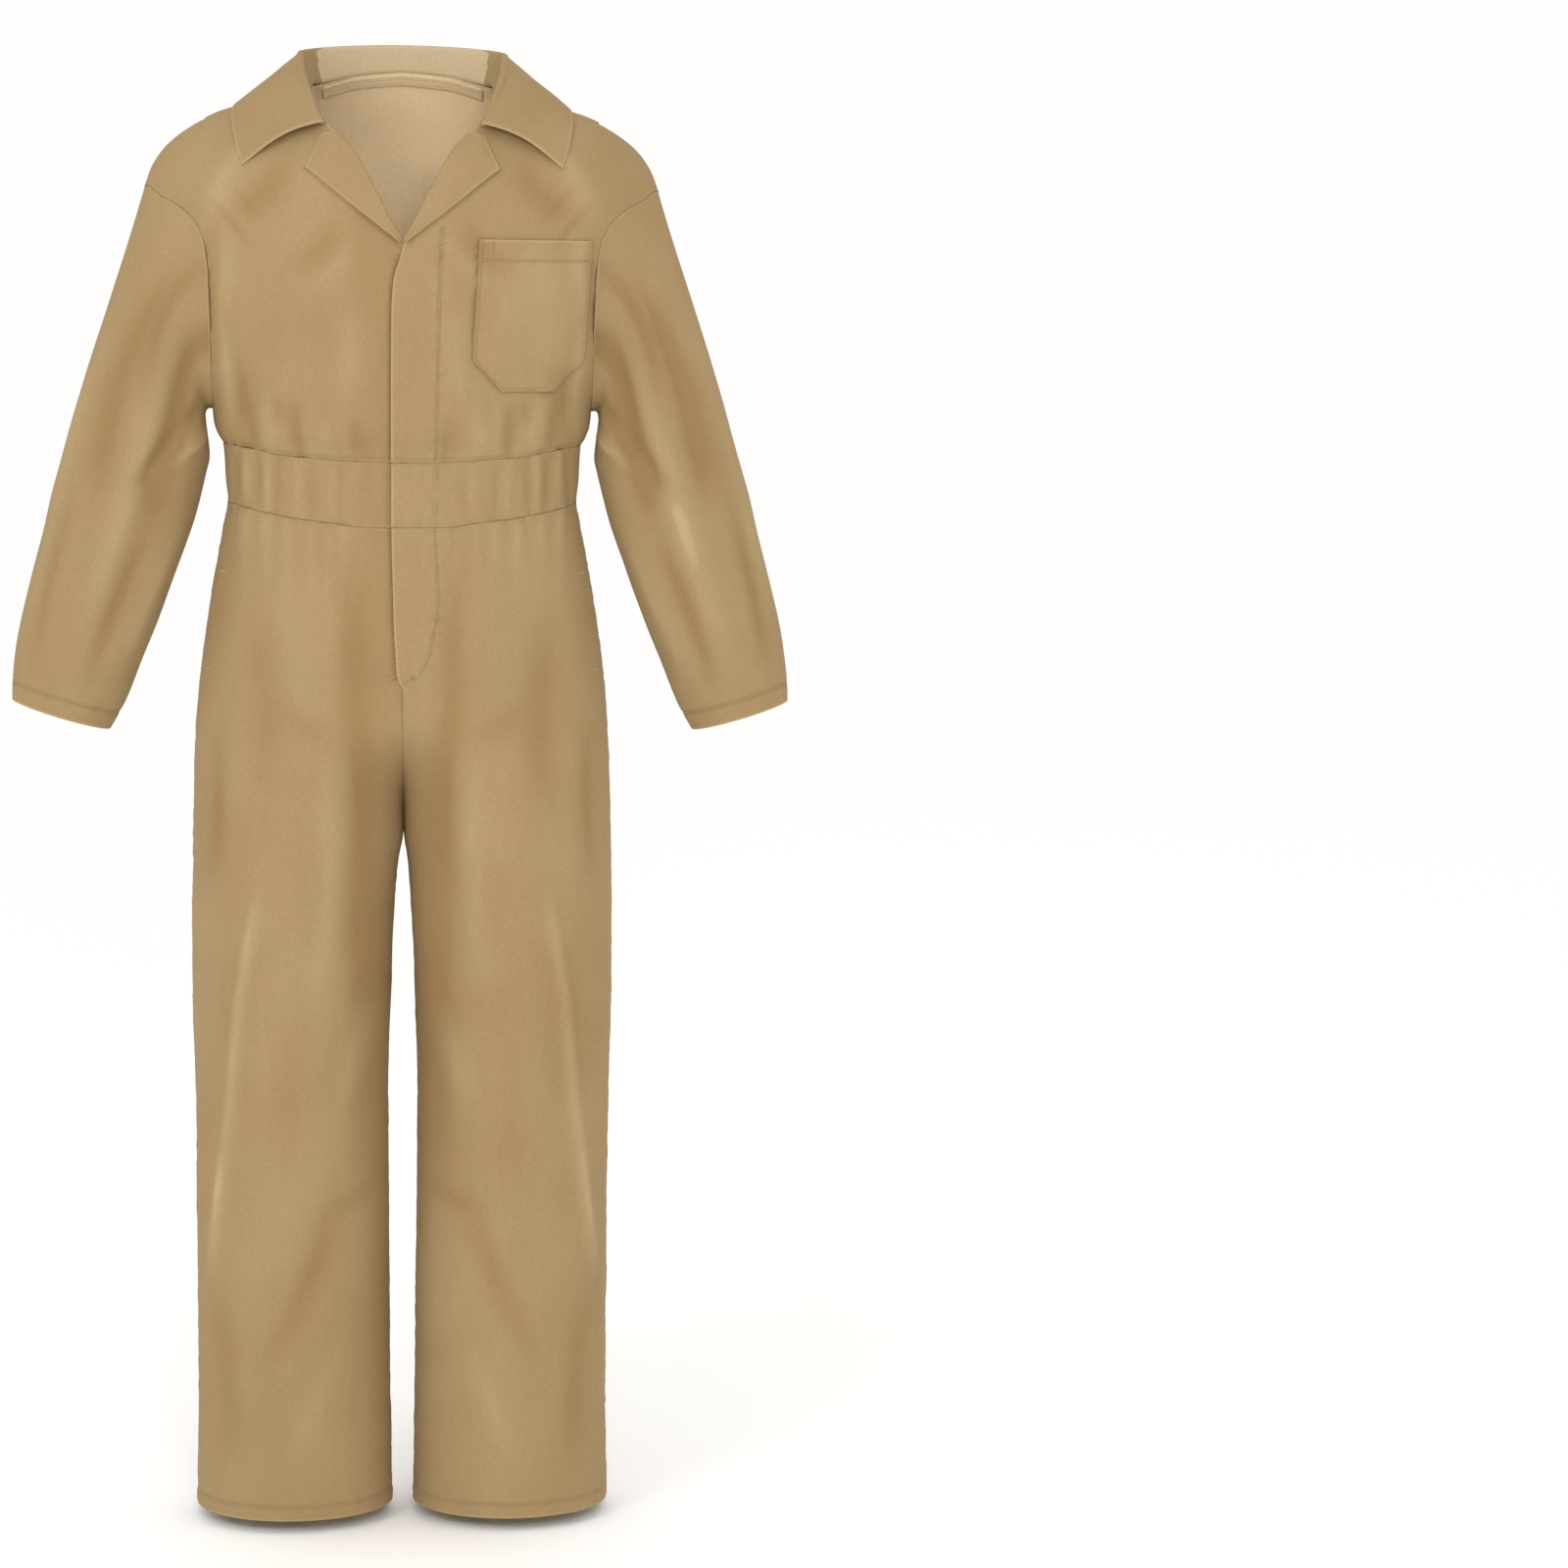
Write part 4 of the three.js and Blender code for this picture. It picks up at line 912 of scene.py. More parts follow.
# Slight upright creases in the waistband
BAND_FOLDS = [
    (60, -354, 62, -422, 4.5, -1.3, 0),
    (71, -352, 70, -418, 5, 1.1, 0),
    (94, -352, 91, -420, 5, -1.5, 1),
    (106, -350, 104, -415, 4.5, 1.3, 0),
    (124, -346, 126, -415, 5, -1.8, -1),
    (135, -344, 135, -412, 4.5, 1.5, 0),
    (147, -344, 145, -410, 4.5, -1.7, 1),
    (157, -342, 157, -408, 4, 1.5, 0),
    (166, -340, 167, -408, 4, -1.6, 0),
]


def band_height(x, share):
    high = WAIST_TOP.read("z", np.abs(x)) - HALF_SEAM
    low = WAIST_BOTTOM.read("z", np.abs(x)) + HALF_SEAM
    return lerp(high, low, share)


def band_end_x(shares):
    x = np.full(shares.shape, 178.0)
    for _ in range(8):
        x = SECTIONS.read("halfWidth", band_height(x, shares))
    return x


def band_grid(side, rows, columns, from_x, to_x=None):
    shares = np.linspace(0, 1, rows)[:, None]
    end = band_end_x(shares)
    low = np.arcsin(from_x / end)
    high = np.arcsin(np.minimum(1.0, (end if to_x is None else to_x) / end))
    turns = np.linspace(0, 1, columns)
    x = end * np.sin(lerp(low, high, turns))
    z = band_height(x, shares)
    return Panel(*body_place(x, z, side)), x, z, shares, turns


def make_waistband(cloth):
    for name, from_x, across, seed in (("left", -11.2, 1, 91), ("right", -UNDERLAP, -1, 95)):
        panel, x, z, _, _ = band_grid("front", 19, 84, from_x)
        free = smooth(FLAT_TO_X, FREE_FROM_X, x)
        panel.raise_cloth(0.5 * uneven(x, z, seed) * free)
        panel.raise_cloth(fold_relief(BAND_FOLDS, x, z) * free)
        if across > 0:
            raise_placket(panel, x, z, seed + 3)
        else:
            panel.raise_cloth(lap_inset(x), 0.6)
            # Painted shadow beside the upper waistband's edge
            panel.shade_line(x - BAND_LAP_X - LAP_SHADE_AWAY, LAP_TONE, LAP_SHADE)
        panel.pucker("top", 1.1, seed + 1)
        panel.pucker("bottom", 1.1, seed + 2)
        sew_piece(
            cloth, f"waist_front_{name}", f"waistband_front_{name}", panel,
            across=across,
        )
    panel, x, z, _, _ = band_grid(
        "back", 19, 96, HALF_SEAM - ELASTIC_FROM_X, ELASTIC_FROM_X - HALF_SEAM,
    )
    panel.raise_cloth(0.5 * uneven(x, z, 99) + fold_relief(BAND_FOLDS, np.abs(x), z))
    panel.pucker("top", 0.8, 100)
    panel.pucker("bottom", 0.8, 101)
    sew_piece(cloth, "waist_back", "waistband_back", panel)
    for name, across, seed in (("left", 1, 105), ("right", -1, 109)):
        panel, x, z, shares, turns = band_grid(
            "back", 25, 12 * ELASTIC_RIBS + 1, ELASTIC_FROM_X + HALF_SEAM,
        )
        swell = 0.55 + 0.45 * np.sin(math.pi * shares)
        shifted = turns + 0.012 * ripple(turns * 60, shares * 60, 9, seed)
        ribs = np.sin(ELASTIC_RIBS * math.pi * shifted) ** 2
        depth = ELASTIC_RIB_HEIGHT * (1.25 + 0.5 * ripple(turns * 60, shares * 20, 8, seed + 1))
        panel.raise_cloth(-depth * swell * ribs)
        sew_piece(
            cloth, f"waist_elastic_{name}", f"waistband_elastic_{name}", panel,
            across=across,
        )


# Trousers. A turn of 0 is the inner seam and 1 the side seam. Above the rise the two legs share one
# ellipse, and below the crotch each leg has its own.
LEVEL_BELOW = 90.0
TURN_GAP = 0.0001
# How far the two legs' middle edges reach over the middle line, and between which heights
MIDDLE_CLOSE = 0.5
MIDDLE_CLOSE_REACH = 6.0
MIDDLE_CLOSE_TOP_Z = {"front": -575.0, "back": -385.0}
MIDDLE_CLOSE_END_Z = -770.0
MIDDLE_CLOSE_EASE = 15.0
# The sewn middle seam's dip, and how far it reaches to each side
SEAM_DIP = 0.5
SEAM_DIP_REACH = 3.5
RISE_FULLNESS = 0.15
RISE_SKEW = 0.75
LEG_HEM = 14.0


def leg_point(turn, z, side):
    turn, z = np.broadcast_arrays(np.asarray(turn, float), np.asarray(z, float))
    way = -1.0 if side == "front" else 1.0
    half_width = SECTIONS.read("halfWidth", z)
    inner = SECTIONS.read("inner", z)
    parted = smooth(RISE_TOP_Z, CROTCH_Z, z)
    full = 1 + RISE_FULLNESS * np.sin(math.pi * parted**RISE_SKEW)
    depth = SECTIONS.read(side, z) * way * full
    quarter, half = turn * math.pi / 2, turn * math.pi
    radius = (half_width - inner) / 2
    return np.stack([
        lerp(half_width * np.sin(quarter), inner + radius - radius * np.cos(half), parted),
        lerp(depth * np.cos(quarter), depth * np.sin(half), parted),
        z,
    ], axis=-1)


def leg_place(turn, z, side):
    across = leg_point(turn + 0.002, z, side) - leg_point(turn - 0.002, z, side)
    down = leg_point(turn, z - 1, side) - leg_point(turn, z + 1, side)
    normal = unit(np.cross(across, down))
    return leg_point(turn, z, side), -normal if side == "front" else normal


def turn_at(x, z, side):
    low, high = np.full(z.shape, -0.3), np.ones(z.shape)
    for _ in range(40):
        middle = (low + high) / 2
        short = leg_point(middle, z, side)[..., 0] < x
        low, high = np.where(short, middle, low), np.where(short, high, middle)
    return (low + high) / 2


def leg_grid(side, start_x, turns):
    seam = float(WAIST_BOTTOM.read("z", 174)) - HALF_SEAM
    levels = np.concatenate([
        seam - np.array([0.0, 1.5, 4.0]),
        np.linspace(seam - 8, HEM_Z + LEG_HEM + 4, 208),
        HEM_Z + np.array([LEG_HEM + 1.5, LEG_HEM, LEG_HEM - 1.5, 9, 5, 2, 0]),
    ])
    start = np.where(
        levels > FLY_END_Z - 8, turn_at(start_x(levels), levels, side), TURN_GAP,
    )
    turn = lerp(start[:, None], 1 - TURN_GAP, turns)
    level = levels[:, None]
    x = SECTIONS.read("halfWidth", level) * np.sin(turn * math.pi / 2)
    side_seam = WAIST_BOTTOM.read("z", 174)
    dip = smooth(side_seam - LEVEL_BELOW, side_seam, level)
    z = level + (WAIST_BOTTOM.read("z", np.abs(x)) - side_seam) * dip
    points, normals = leg_place(turn, z, side)
    top = MIDDLE_CLOSE_TOP_Z[side]
    height = points[..., 2]
    rise = smooth(top, top - MIDDLE_CLOSE_EASE, height) * smooth(MIDDLE_CLOSE_END_Z, CROTCH_Z, height)
    near = np.exp(-((points[..., 0] / MIDDLE_CLOSE_REACH) ** 2))
    points[..., 0] -= MIDDLE_CLOSE * rise * near
    return Panel(points, normals)


def trouser_relief(side, x, z, seed):
    folds = TROUSER_FRONT_FOLDS if side == "front" else TROUSER_BACK_FOLDS
    gathers = FRONT_GATHERS if side == "front" else BACK_GATHERS
    below = WAIST_BOTTOM.read("z", np.abs(x)) - z
    from_middle = np.where(z > FLY_FLAT_END_Z, np.abs(x), FAR_AWAY)
    free = smooth(FLAT_TO_X, FREE_FROM_X, from_middle) if side == "front" else 1.0
    return (
        fold_relief(folds, x, z)
        + gather_relief(gathers, x, below)
        + 1.15 * uneven(x, z, seed) * free
    )


def finish_leg(panel, seed, sewn_below=FLY_END_Z):
    """Hem, puckers and seams, with painted shade along them. The two legs' middle seam shows below
    the given height.
    """
    above_hem = panel.points[..., 2] - HEM_Z
    panel.raise_cloth(0.3 * smooth(LEG_HEM + 1, LEG_HEM - 1, above_hem), 0.0)
    panel.sew_down(above_hem - LEG_HEM, 0.5, seed + 4)
    panel.pucker("top", 1.1, seed + 1)
    panel.pucker("right", 0.55, seed + 2)
    panel.pucker("left", 0.5 * smooth(-690, -760, panel.points[..., 2]), seed + 3, tone=0.0)
    sewn = smooth(sewn_below, sewn_below - 12, panel.points[..., 2])
    panel.mark_seam("left", LEG_SEAM_TONE * sewn)
    if sewn_below > FLY_END_Z:
        from_seam = panel.edge_distance("left") / SEAM_DIP_REACH
        panel.raise_cloth(-SEAM_DIP * sewn * np.exp(-(from_seam**2)))


def make_trousers(cloth):
    turns = middle_graded(0.2, 26, 62)
    for name, across, seed in (("left", 1, 121), ("right", -1, 131)):
        column = "lap" if across > 0 else "under"
        panel = leg_grid("front", lambda z: -FLY_EDGE.read(column, z), turns)
        x, z = panel.points[..., 0], panel.points[..., 2]
        panel.raise_cloth(trouser_relief("front", x, z, seed))
        if across > 0:
            raise_placket(panel, x, z, seed + 5, smooth(FLY_END_Z - 3, FLY_END_Z + 3, z))
        else:
            panel.raise_cloth(lap_inset(x, smooth(-640, FLY_END_Z - 4, z)), 0.6)
            # Painted shadow beside the fly's edge, above the fly's end
            beside_fly = x - FLY_EDGE.read("lap", z) - LAP_SHADE_AWAY
            beside_fly = np.where(z > FLY_END_Z, beside_fly, FAR_AWAY)
            panel.shade_line(beside_fly, LAP_TONE, LAP_SHADE)
        finish_leg(panel, seed)
        sew_piece(
            cloth, f"leg_front_{name}", f"trouser_front_{name}", panel,
            across=across,
        )
    for name, across, seed in (("left", 1, 141), ("right", -1, 151)):
        panel = leg_grid("back", lambda z: HALF_SEAM + 0 * z, np.linspace(0, 1, 92))
        x, z = panel.points[..., 0], panel.points[..., 2]
        panel.raise_cloth(trouser_relief("back", x, z, seed))
        finish_leg(panel, seed, sewn_below=0.0)
        sew_piece(
            cloth, f"leg_back_{name}", f"trouser_back_{name}", panel,
            across=across,
        )


# Patch pockets lie on a panel's own surface, and their lower corners are cut off
CHEST_POCKET = Table(("z", "inner", "outer"), [
    (-138, 75, 186.5), (-158, 74, 186), (-205, 71.5, 182.5), (-254, 68.5, 178),
    (-270, 82, 165), (-287, 97, 150),
])
HIP_POCKET = Table(("z", "inner", "outer"), [
    (-468, 72.5, 182), (-484, 71.5, 185), (-543, 67, 194), (-622, 60, 203),
    (-640, 75, 190), (-658, 92, 176),
])
CHEST_POCKET_HEM = 20.0
HIP_POCKET_HEM = 16.0
POCKET_FULLNESS = 2.2
HIP_POCKET_LIFT = 0.5
POCKET_EDGE_STITCH = 2.0


def pocket_rows(top, corner, bottom, hem, step):
    upper = np.linspace(top, top - hem + 2, 7)
    line = top - hem + np.array([1.0, 0.0, -1.0])
    body = np.linspace(top - hem - 3, corner, int((top - hem - 3 - corner) / step))
    return np.concatenate([upper, line, body, np.linspace(corner, bottom, 12)[1:]])


def finish_pocket(panel, hem, shares, downs, seed):
    panel.raise_cloth(LAYER_GAP + 1.5, 0.0)
    swell = np.sin(math.pi * shares) * np.sin(math.pi * downs**0.8)
    panel.raise_cloth(POCKET_FULLNESS * swell, 0.35)
    from_top = panel.edge_distance("top")
    sides = np.minimum(panel.edge_distance("left"), panel.edge_distance("right"))
    nearest = np.minimum(sides, panel.edge_distance("bottom"))
    panel.raise_cloth(0.5 * smooth(hem + 1, hem - 1, from_top), 0.0)
    panel.sew_down(from_top - hem, 0.45, seed + 5)
    panel.sew_down(nearest - POCKET_EDGE_STITCH, 0.4, seed + 6, drawn=0.35)
    # Painted shade along the pocket's sides and bottom, where it ends on the cloth below
    for side in ("left", "right", "bottom"):
        panel.mark_seam(side, POCKET_TONE)
    panel.raise_cloth(0.6 * ripple(panel.across, panel.down, 34, seed) * smooth(4, 16, nearest))


def make_pockets(cloth):
    rows = pocket_rows(-138.0, -254.0, -287.0, CHEST_POCKET_HEM, 3.4)
    shares = np.linspace(0, 1, 44)
    inner, outer = CHEST_POCKET.read("inner", rows), CHEST_POCKET.read("outer", rows)
    x = lerp(inner[:, None], outer[:, None], shares)
    z = rows[:, None] + 0 * x
    panel = Panel(*body_place(x, z, "front"))
    panel.raise_cloth(front_relief(x, z))
    downs = (rows[:, None] - rows[0]) / (rows[-1] - rows[0])
    finish_pocket(panel, CHEST_POCKET_HEM, shares, downs, 161)
    sew_piece(
        cloth, "chest_patch", "chest_pocket", panel,
    )
    rows = pocket_rows(-468.0, -622.0, -658.0, HIP_POCKET_HEM, 3.8)
    low = turn_at(HIP_POCKET.read("inner", rows), rows, "back")
    high = turn_at(HIP_POCKET.read("outer", rows), rows, "back")
    turn = lerp(low[:, None], high[:, None], shares)
    panel = Panel(*leg_place(turn, rows[:, None], "back"))
    x, z = panel.points[..., 0], panel.points[..., 2]
    panel.raise_cloth(HIP_POCKET_LIFT, 0.0)
    panel.raise_cloth(trouser_relief("back", x, z, 151))
    downs = (rows[:, None] - rows[0]) / (rows[-1] - rows[0])
    finish_pocket(panel, HIP_POCKET_HEM, shares, downs, 171)
    sew_piece(
        cloth, "hip_patch", "hip_pocket", panel,
        across=-1,
    )


# Lapels: the front edges turned back over a soft roll
LAPEL = Table(("share", "rollZ", "edgeX", "edgeZ"), [
    (0, -34, 80, -38), (0.12, -43, 85, -49), (0.3, -58, 95, -69.5), (0.38, -65, 86.5, -75.5),
    (0.45, -71, 78, -82), (0.53, -80, 67.5, -90.5), (0.62, -90, 57, -99), (0.7, -101, 45.5, -108.5),
    (0.8, -115, 32, -119), (0.9, -128, 18, -130), (1, -140, 3.5, -142),
])
LAPEL_ROLL = 2.7
LAPEL_WRAP_TURNS = np.radians([150, 128, 106, 84, 62, 40, 20])


def make_lapels(cloth):
    neck = PANELS["front_left"].points[:, 0]
    order = np.argsort(neck[:, 2])
    share = middle_graded(0.3, 18, 42)
    edge_x = np.interp(share, LAPEL.keys, LAPEL.values["edgeX"])
    edge_z = np.interp(share, LAPEL.keys, LAPEL.values["edgeZ"])
    roll_z = LAPEL.read("rollZ", share)
    roll_x = np.interp(roll_z, neck[order, 2], neck[order, 0])
    run = np.linspace(0, 1, 20)
    x = lerp(roll_x[:, None], edge_x[:, None], run)
    z = lerp(roll_z[:, None], edge_z[:, None], run)
    for name, across, seed in (("left", 1, 181), ("right", -1, 185)):
        points, normals = body_place(x, z, "front")
        height = LAYER_GAP + cloth.thickness_mm + 1.6 * np.sin(math.pi * run)
        height = height + front_relief(x, z) + 0.35 * ripple(x, z, 26, seed)
        points = points + normals * height[..., None]
        towards_neck = unit(points[:, 0] - points[:, 2])
        normal = normals[:, 0]
        towards_neck = unit(
            towards_neck - normal * np.sum(towards_neck * normal, axis=-1, keepdims=True)
        )
        centre = points[:, 0] - normal * LAPEL_ROLL
        turn = LAPEL_WRAP_TURNS[None, :, None]
        wrap_out = towards_neck[:, None] * np.sin(turn) + normal[:, None] * np.cos(turn)
        wrap = centre[:, None] + wrap_out * LAPEL_ROLL
        panel = Panel(
            np.concatenate([wrap, points], 1), np.concatenate([wrap_out, normals], 1),
        )
        panel.pucker("right", 0.25, seed + 1, reach=5.0, tone=0.0)
        sew_piece(
            cloth, f"lapel_flap_{name}", f"lapel_{name}", panel,
            across=across,
        )


# Collar: stations from the middle of the back, 0, to the front notch, 1
COLLAR = Table((
    "station", "seamX", "seamZ", "seamSide", "rollX", "rollY", "rollZ", "edgeX", "edgeZ",
    "edgeSide",
), [
    (0, 0, 31, 1, 0, 74, 58, 0, -21, 1),
    (0.2, 30, 28.8, 1, 34, 70, 57, 50, -20, 1),
    (0.4, 60, 23, 1, 67, 55, 55, 100, -16.5, 1),
    (0.55, 80, 17, 1, 89, 31, 52, 141, -10.5, 1),
    (0.68, 90, 13, 0, 99, 0, 48, 166, -9, 0),
    (0.8, 88.5, 6, -1, 98, -32, 34, 169, -19, -1),
    (0.9, 85, -7, -1, 90, -62, 9, 165, -41, -1),
    (1, 78, -29, -1, 75.5, -90, -26, 157, -69, -1),
])
COLLAR_CLOTH = 1.8
COLLAR_CLEAR = 3.0
STAND_CLEAR = 0.9
ROLL_RADIUS = 4.0
COLLAR_END_BOW = 8.0
STAND_TUCK = 5.0
STATION_STEP = 0.02
REVERSE_STATION = 0.55
REVERSE_ROUNDING = 0.1
REVERSE_ROWS = 13


def on_body(x, z, side):
    facing = np.sign(np.round(side * 50))
    front, back = body_depth(x, z, "front"), body_depth(x, z, "back")
    return np.stack([x, np.where(facing < 0, -front, back) * np.abs(facing), z], axis=-1)


def collar_read(name, station):
    return COLLAR.read(name, np.abs(station))


def roll_line(station):
    way = np.where(station < 0, -1.0, 1.0)
    return np.stack([
        way * collar_read("rollX", station), collar_read("rollY", station),
        collar_read("rollZ", station),
    ], axis=-1)


def make_collar(cloth):
    station = np.linspace(-1, 1, 131)
    way = np.where(station < 0, -1.0, 1.0)
    at = np.abs(station)[:, None]
    seam_gap = lerp(STAND_CLEAR, COLLAR_CLEAR, smooth(0.78, 0.94, np.abs(station)))
    seam = clear_of_body(on_body(
        way * collar_read("seamX", station), collar_read("seamZ", station),
        collar_read("seamSide", station),
    ), seam_gap)
    edge = clear_of_body(on_body(
        way * collar_read("edgeX", station), collar_read("edgeZ", station),
        collar_read("edgeSide", station),
    ), COLLAR_CLEAR)
    top = roll_line(station)
    up = unit(top - seam)
    along = unit(roll_line(station + STATION_STEP) - roll_line(station - STATION_STEP))
    out = unit(np.cross(up, along))
    radius = lerp(ROLL_RADIUS, COLLAR_CLOTH + 1, at**4)
    centre = top - up * radius + out * radius
    tucked = STAND_TUCK * smooth(1.0, 0.85, np.abs(station))[:, None]
    rows = [clear_of_body(seam - up * tucked, STAND_CLEAR)]
    seam = seam + up * 0.2
    stand_top = centre - out * radius
    for share in np.linspace(0, 1, 9)[:-1]:
        rows.append(lerp(seam, stand_top, share))
    for turn in np.linspace(0, 0.9 * math.pi, 13):
        rows.append(centre - out * radius * math.cos(turn) + up * radius * math.sin(turn))
    start = rows[-1]
    for share in np.linspace(0, 1, 25)[1:]:
        point = lerp(start, edge, share)
        point[:, 2] += COLLAR_END_BOW * np.abs(station) ** 10 * math.sin(math.pi * share)
        rows.append(clear_of_body(point, COLLAR_CLEAR))
    points = np.stack(rows)
    normals = unit(np.cross(np.gradient(points, axis=1), np.gradient(points, axis=0)))
    panel = Panel(points, normals)
    from_edge = panel.edge_distance("bottom")
    lying = smooth(60, 40, from_edge)
    panel.raise_cloth(0.6 * ripple(panel.across, panel.down, 55, 191) * lying)
    panel.pucker("bottom", 0.25, 193, reach=5.0, tone=0.0)
    piece = make_piece(
        "turned_collar", "collar", panel, COLLAR_CLOTH,
        [cloth.faces[0], cloth.stand],
    )
    # The stand's inner face, behind the neck, shows the cloth's paler side in a darker copy of the
    # reverse, whose own colour is painted light
    across = np.abs(station[:-1] + station[1:]) / 2
    down = np.arange(len(rows) - 1)
    limit = REVERSE_STATION - REVERSE_ROUNDING * (down / REVERSE_ROWS) ** 4
    shown = (across < limit[:, None]) & (down < REVERSE_ROWS)[:, None]
    faces = piece.data.polygons
    marks = np.zeros(len(faces), np.int32)
    faces.foreach_get("material_index", marks)
    marks[:shown.size][shown.ravel()] = 1
    faces.foreach_set("material_index", marks)


TAPE_WIDTH = 10.0
TAPE_INSET = 2.7
TAPE_CLOTH = 0.8
TAPE_HALF_LENGTH = 82.0


def make_neck_tape(cloth):
    x = np.linspace(-TAPE_HALF_LENGTH, TAPE_HALF_LENGTH, 61)[None, :]
    below = np.linspace(2, 2 + TAPE_WIDTH, 5)[:, None]
    z = BACK_TOP.read("z", np.abs(x)) - below
    points, normals = body_place(x, z, "back")
    panel = Panel(points - normals * TAPE_INSET, normals)
    make_piece(
        "back_neck_tape", "neck_tape", panel, TAPE_CLOTH,
        [cloth.tape, cloth.tape],
    )


def tree_of(piece):
    mesh = piece.data
    faces = [tuple(polygon.vertices) for polygon in mesh.polygons]
    return BVHTree.FromPolygons([v.co for v in mesh.vertices], faces)


# Stitches: lines on the outer cloth, from which a node tree makes one small raised thread a pitch
class StitchLines:
    def __init__(self):
        self.points, self.facing, self.edges = [], [], []

    def add(self, points, facing, closed=False):
        first = len(self.points)
        count = len(points)
        self.points.extend(points)
        self.facing.extend(facing)
        self.edges.extend((first + i, first + i + 1) for i in range(count - 1))
        if closed:
            self.edges.append((first + count - 1, first))

    def beside(self, name, side, inset, start=0.0, end=1.0, inside=0.0):
        """A line inside an edge, or on the reverse of cloth that is that thick."""
        panel = PANELS[name]
        points, facing = panel.line_beside(side, inset)
        if inside:
            points, facing = points - facing * inside, -facing
        low, high = int(len(points) * start), max(2, int(round(len(points) * end)))
        closed = panel.closed and side in ("top", "bottom")
        self.add(points[low:high], facing[low:high], closed)

    def seen(self, names, places, side):
        """A line through places x and z, laid on the outermost of these pieces."""
        trees = [tree_of(PIECES[name]) for name in names]
        way = 1.0 if side == "front" else -1.0
        points, facing = [], []
        for (from_x, from_z), (to_x, to_z) in zip(places, places[1:]):
            steps = max(2, int(math.hypot(to_x - from_x, to_z - from_z) / 3))
            for share in np.linspace(0, 1, steps, endpoint=False):
                x, z = lerp(from_x, to_x, share), lerp(from_z, to_z, share)
                origin = Vector((x * MM, -way, z * MM))
                hits = [tree.ray_cast(origin, Vector((0, way, 0))) for tree in trees]
                hits = [hit for hit in hits if hit[0] is not None]
                if hits:
                    place, normal, _, _ = min(hits, key=lambda hit: hit[3])
                    points.append(np.array(place) / MM)
                    facing.append(np.array(normal))
        if len(points) > 1:
            self.add(points, facing)

    def guide(self, name):
        mesh = bpy.data.meshes.new(name)
        mesh.from_pydata([tuple(p * MM) for p in self.points], self.edges, [])
        layer = mesh.attributes.new("face_out", "FLOAT_VECTOR", "POINT")
        layer.data.foreach_set("vector", np.array(self.facing, np.float32).ravel())
        thing = bpy.data.objects.new(name, mesh)
        bpy.context.scene.collection.objects.link(thing)
        return thing


def stitch_tree():
    tree = bpy.data.node_groups.get("stitch_line")
    if tree:
        return tree
    tree = bpy.data.node_groups.new("stitch_line", "GeometryNodeTree")
    sockets = tree.interface
    sockets.new_socket("Geometry", in_out="INPUT", socket_type="NodeSocketGeometry")
    for name, value in (("Pitch", 0.0038), ("Length", 0.0026), ("Width", 0.0005)):
        socket = sockets.new_socket(name, in_out="INPUT", socket_type="NodeSocketFloat")
        socket.default_value = value
        socket.subtype = "DISTANCE"
    seed = sockets.new_socket("Seed", in_out="INPUT", socket_type="NodeSocketInt")
    seed.default_value = 7
    sockets.new_socket("Material", in_out="INPUT", socket_type="NodeSocketMaterial")
    sockets.new_socket("Geometry", in_out="OUTPUT", socket_type="NodeSocketGeometry")
    given = add_node(tree, "NodeGroupInput")
    curve = add_node(tree, "GeometryNodeMeshToCurve", {"Mesh": given.outputs["Geometry"]})
    places = add_node(tree, "GeometryNodeResampleCurve", {
        "Curve": curve.outputs["Curve"], "Length": given.outputs["Pitch"],
    }, mode="LENGTH")
    tangent = add_node(tree, "GeometryNodeInputTangent")
    facing = add_node(
        tree, "GeometryNodeInputNamedAttribute", {"Name": "face_out"}, data_type="FLOAT_VECTOR",
    )
    turned = add_node(tree, "FunctionNodeAxesToRotation", {
        "Primary Axis": tangent.outputs["Tangent"],
        "Secondary Axis": facing.outputs["Attribute"],
    }, primary_axis="X", secondary_axis="Z")
    thread = add_node(tree, "GeometryNodeMeshUVSphere", {
        "Segments": 6, "Rings": 4, "Radius": 0.5,
    })
    rounded = add_node(tree, "GeometryNodeSetShadeSmooth", {"Geometry": thread.outputs["Mesh"]})
    varied = add_node(tree, "FunctionNodeRandomValue", {
        "Min": 0.9, "Max": 1.1, "Seed": given.outputs["Seed"],
    }, data_type="FLOAT")
    size = add_node(tree, "ShaderNodeCombineXYZ", {
        "X": given.outputs["Length"], "Y": given.outputs["Width"], "Z": given.outputs["Width"],
    })
    scaled = add_node(tree, "ShaderNodeVectorMath", {
        0: size.outputs["Vector"], "Scale": varied.outputs["Value"],
    }, operation="SCALE")
    threads = add_node(tree, "GeometryNodeInstanceOnPoints", {
        "Points": places.outputs["Curve"], "Instance": rounded.outputs["Geometry"],
        "Rotation": turned.outputs["Rotation"], "Scale": scaled.outputs["Vector"],
    })
    real = add_node(
        tree, "GeometryNodeRealizeInstances", {"Geometry": threads.outputs["Instances"]},
    )
    painted = add_node(tree, "GeometryNodeSetMaterial", {
        "Geometry": real.outputs["Geometry"], "Material": given.outputs["Material"],
    })
    result = add_node(tree, "NodeGroupOutput")
    tree.links.new(painted.outputs["Geometry"], result.inputs["Geometry"])
    return tree


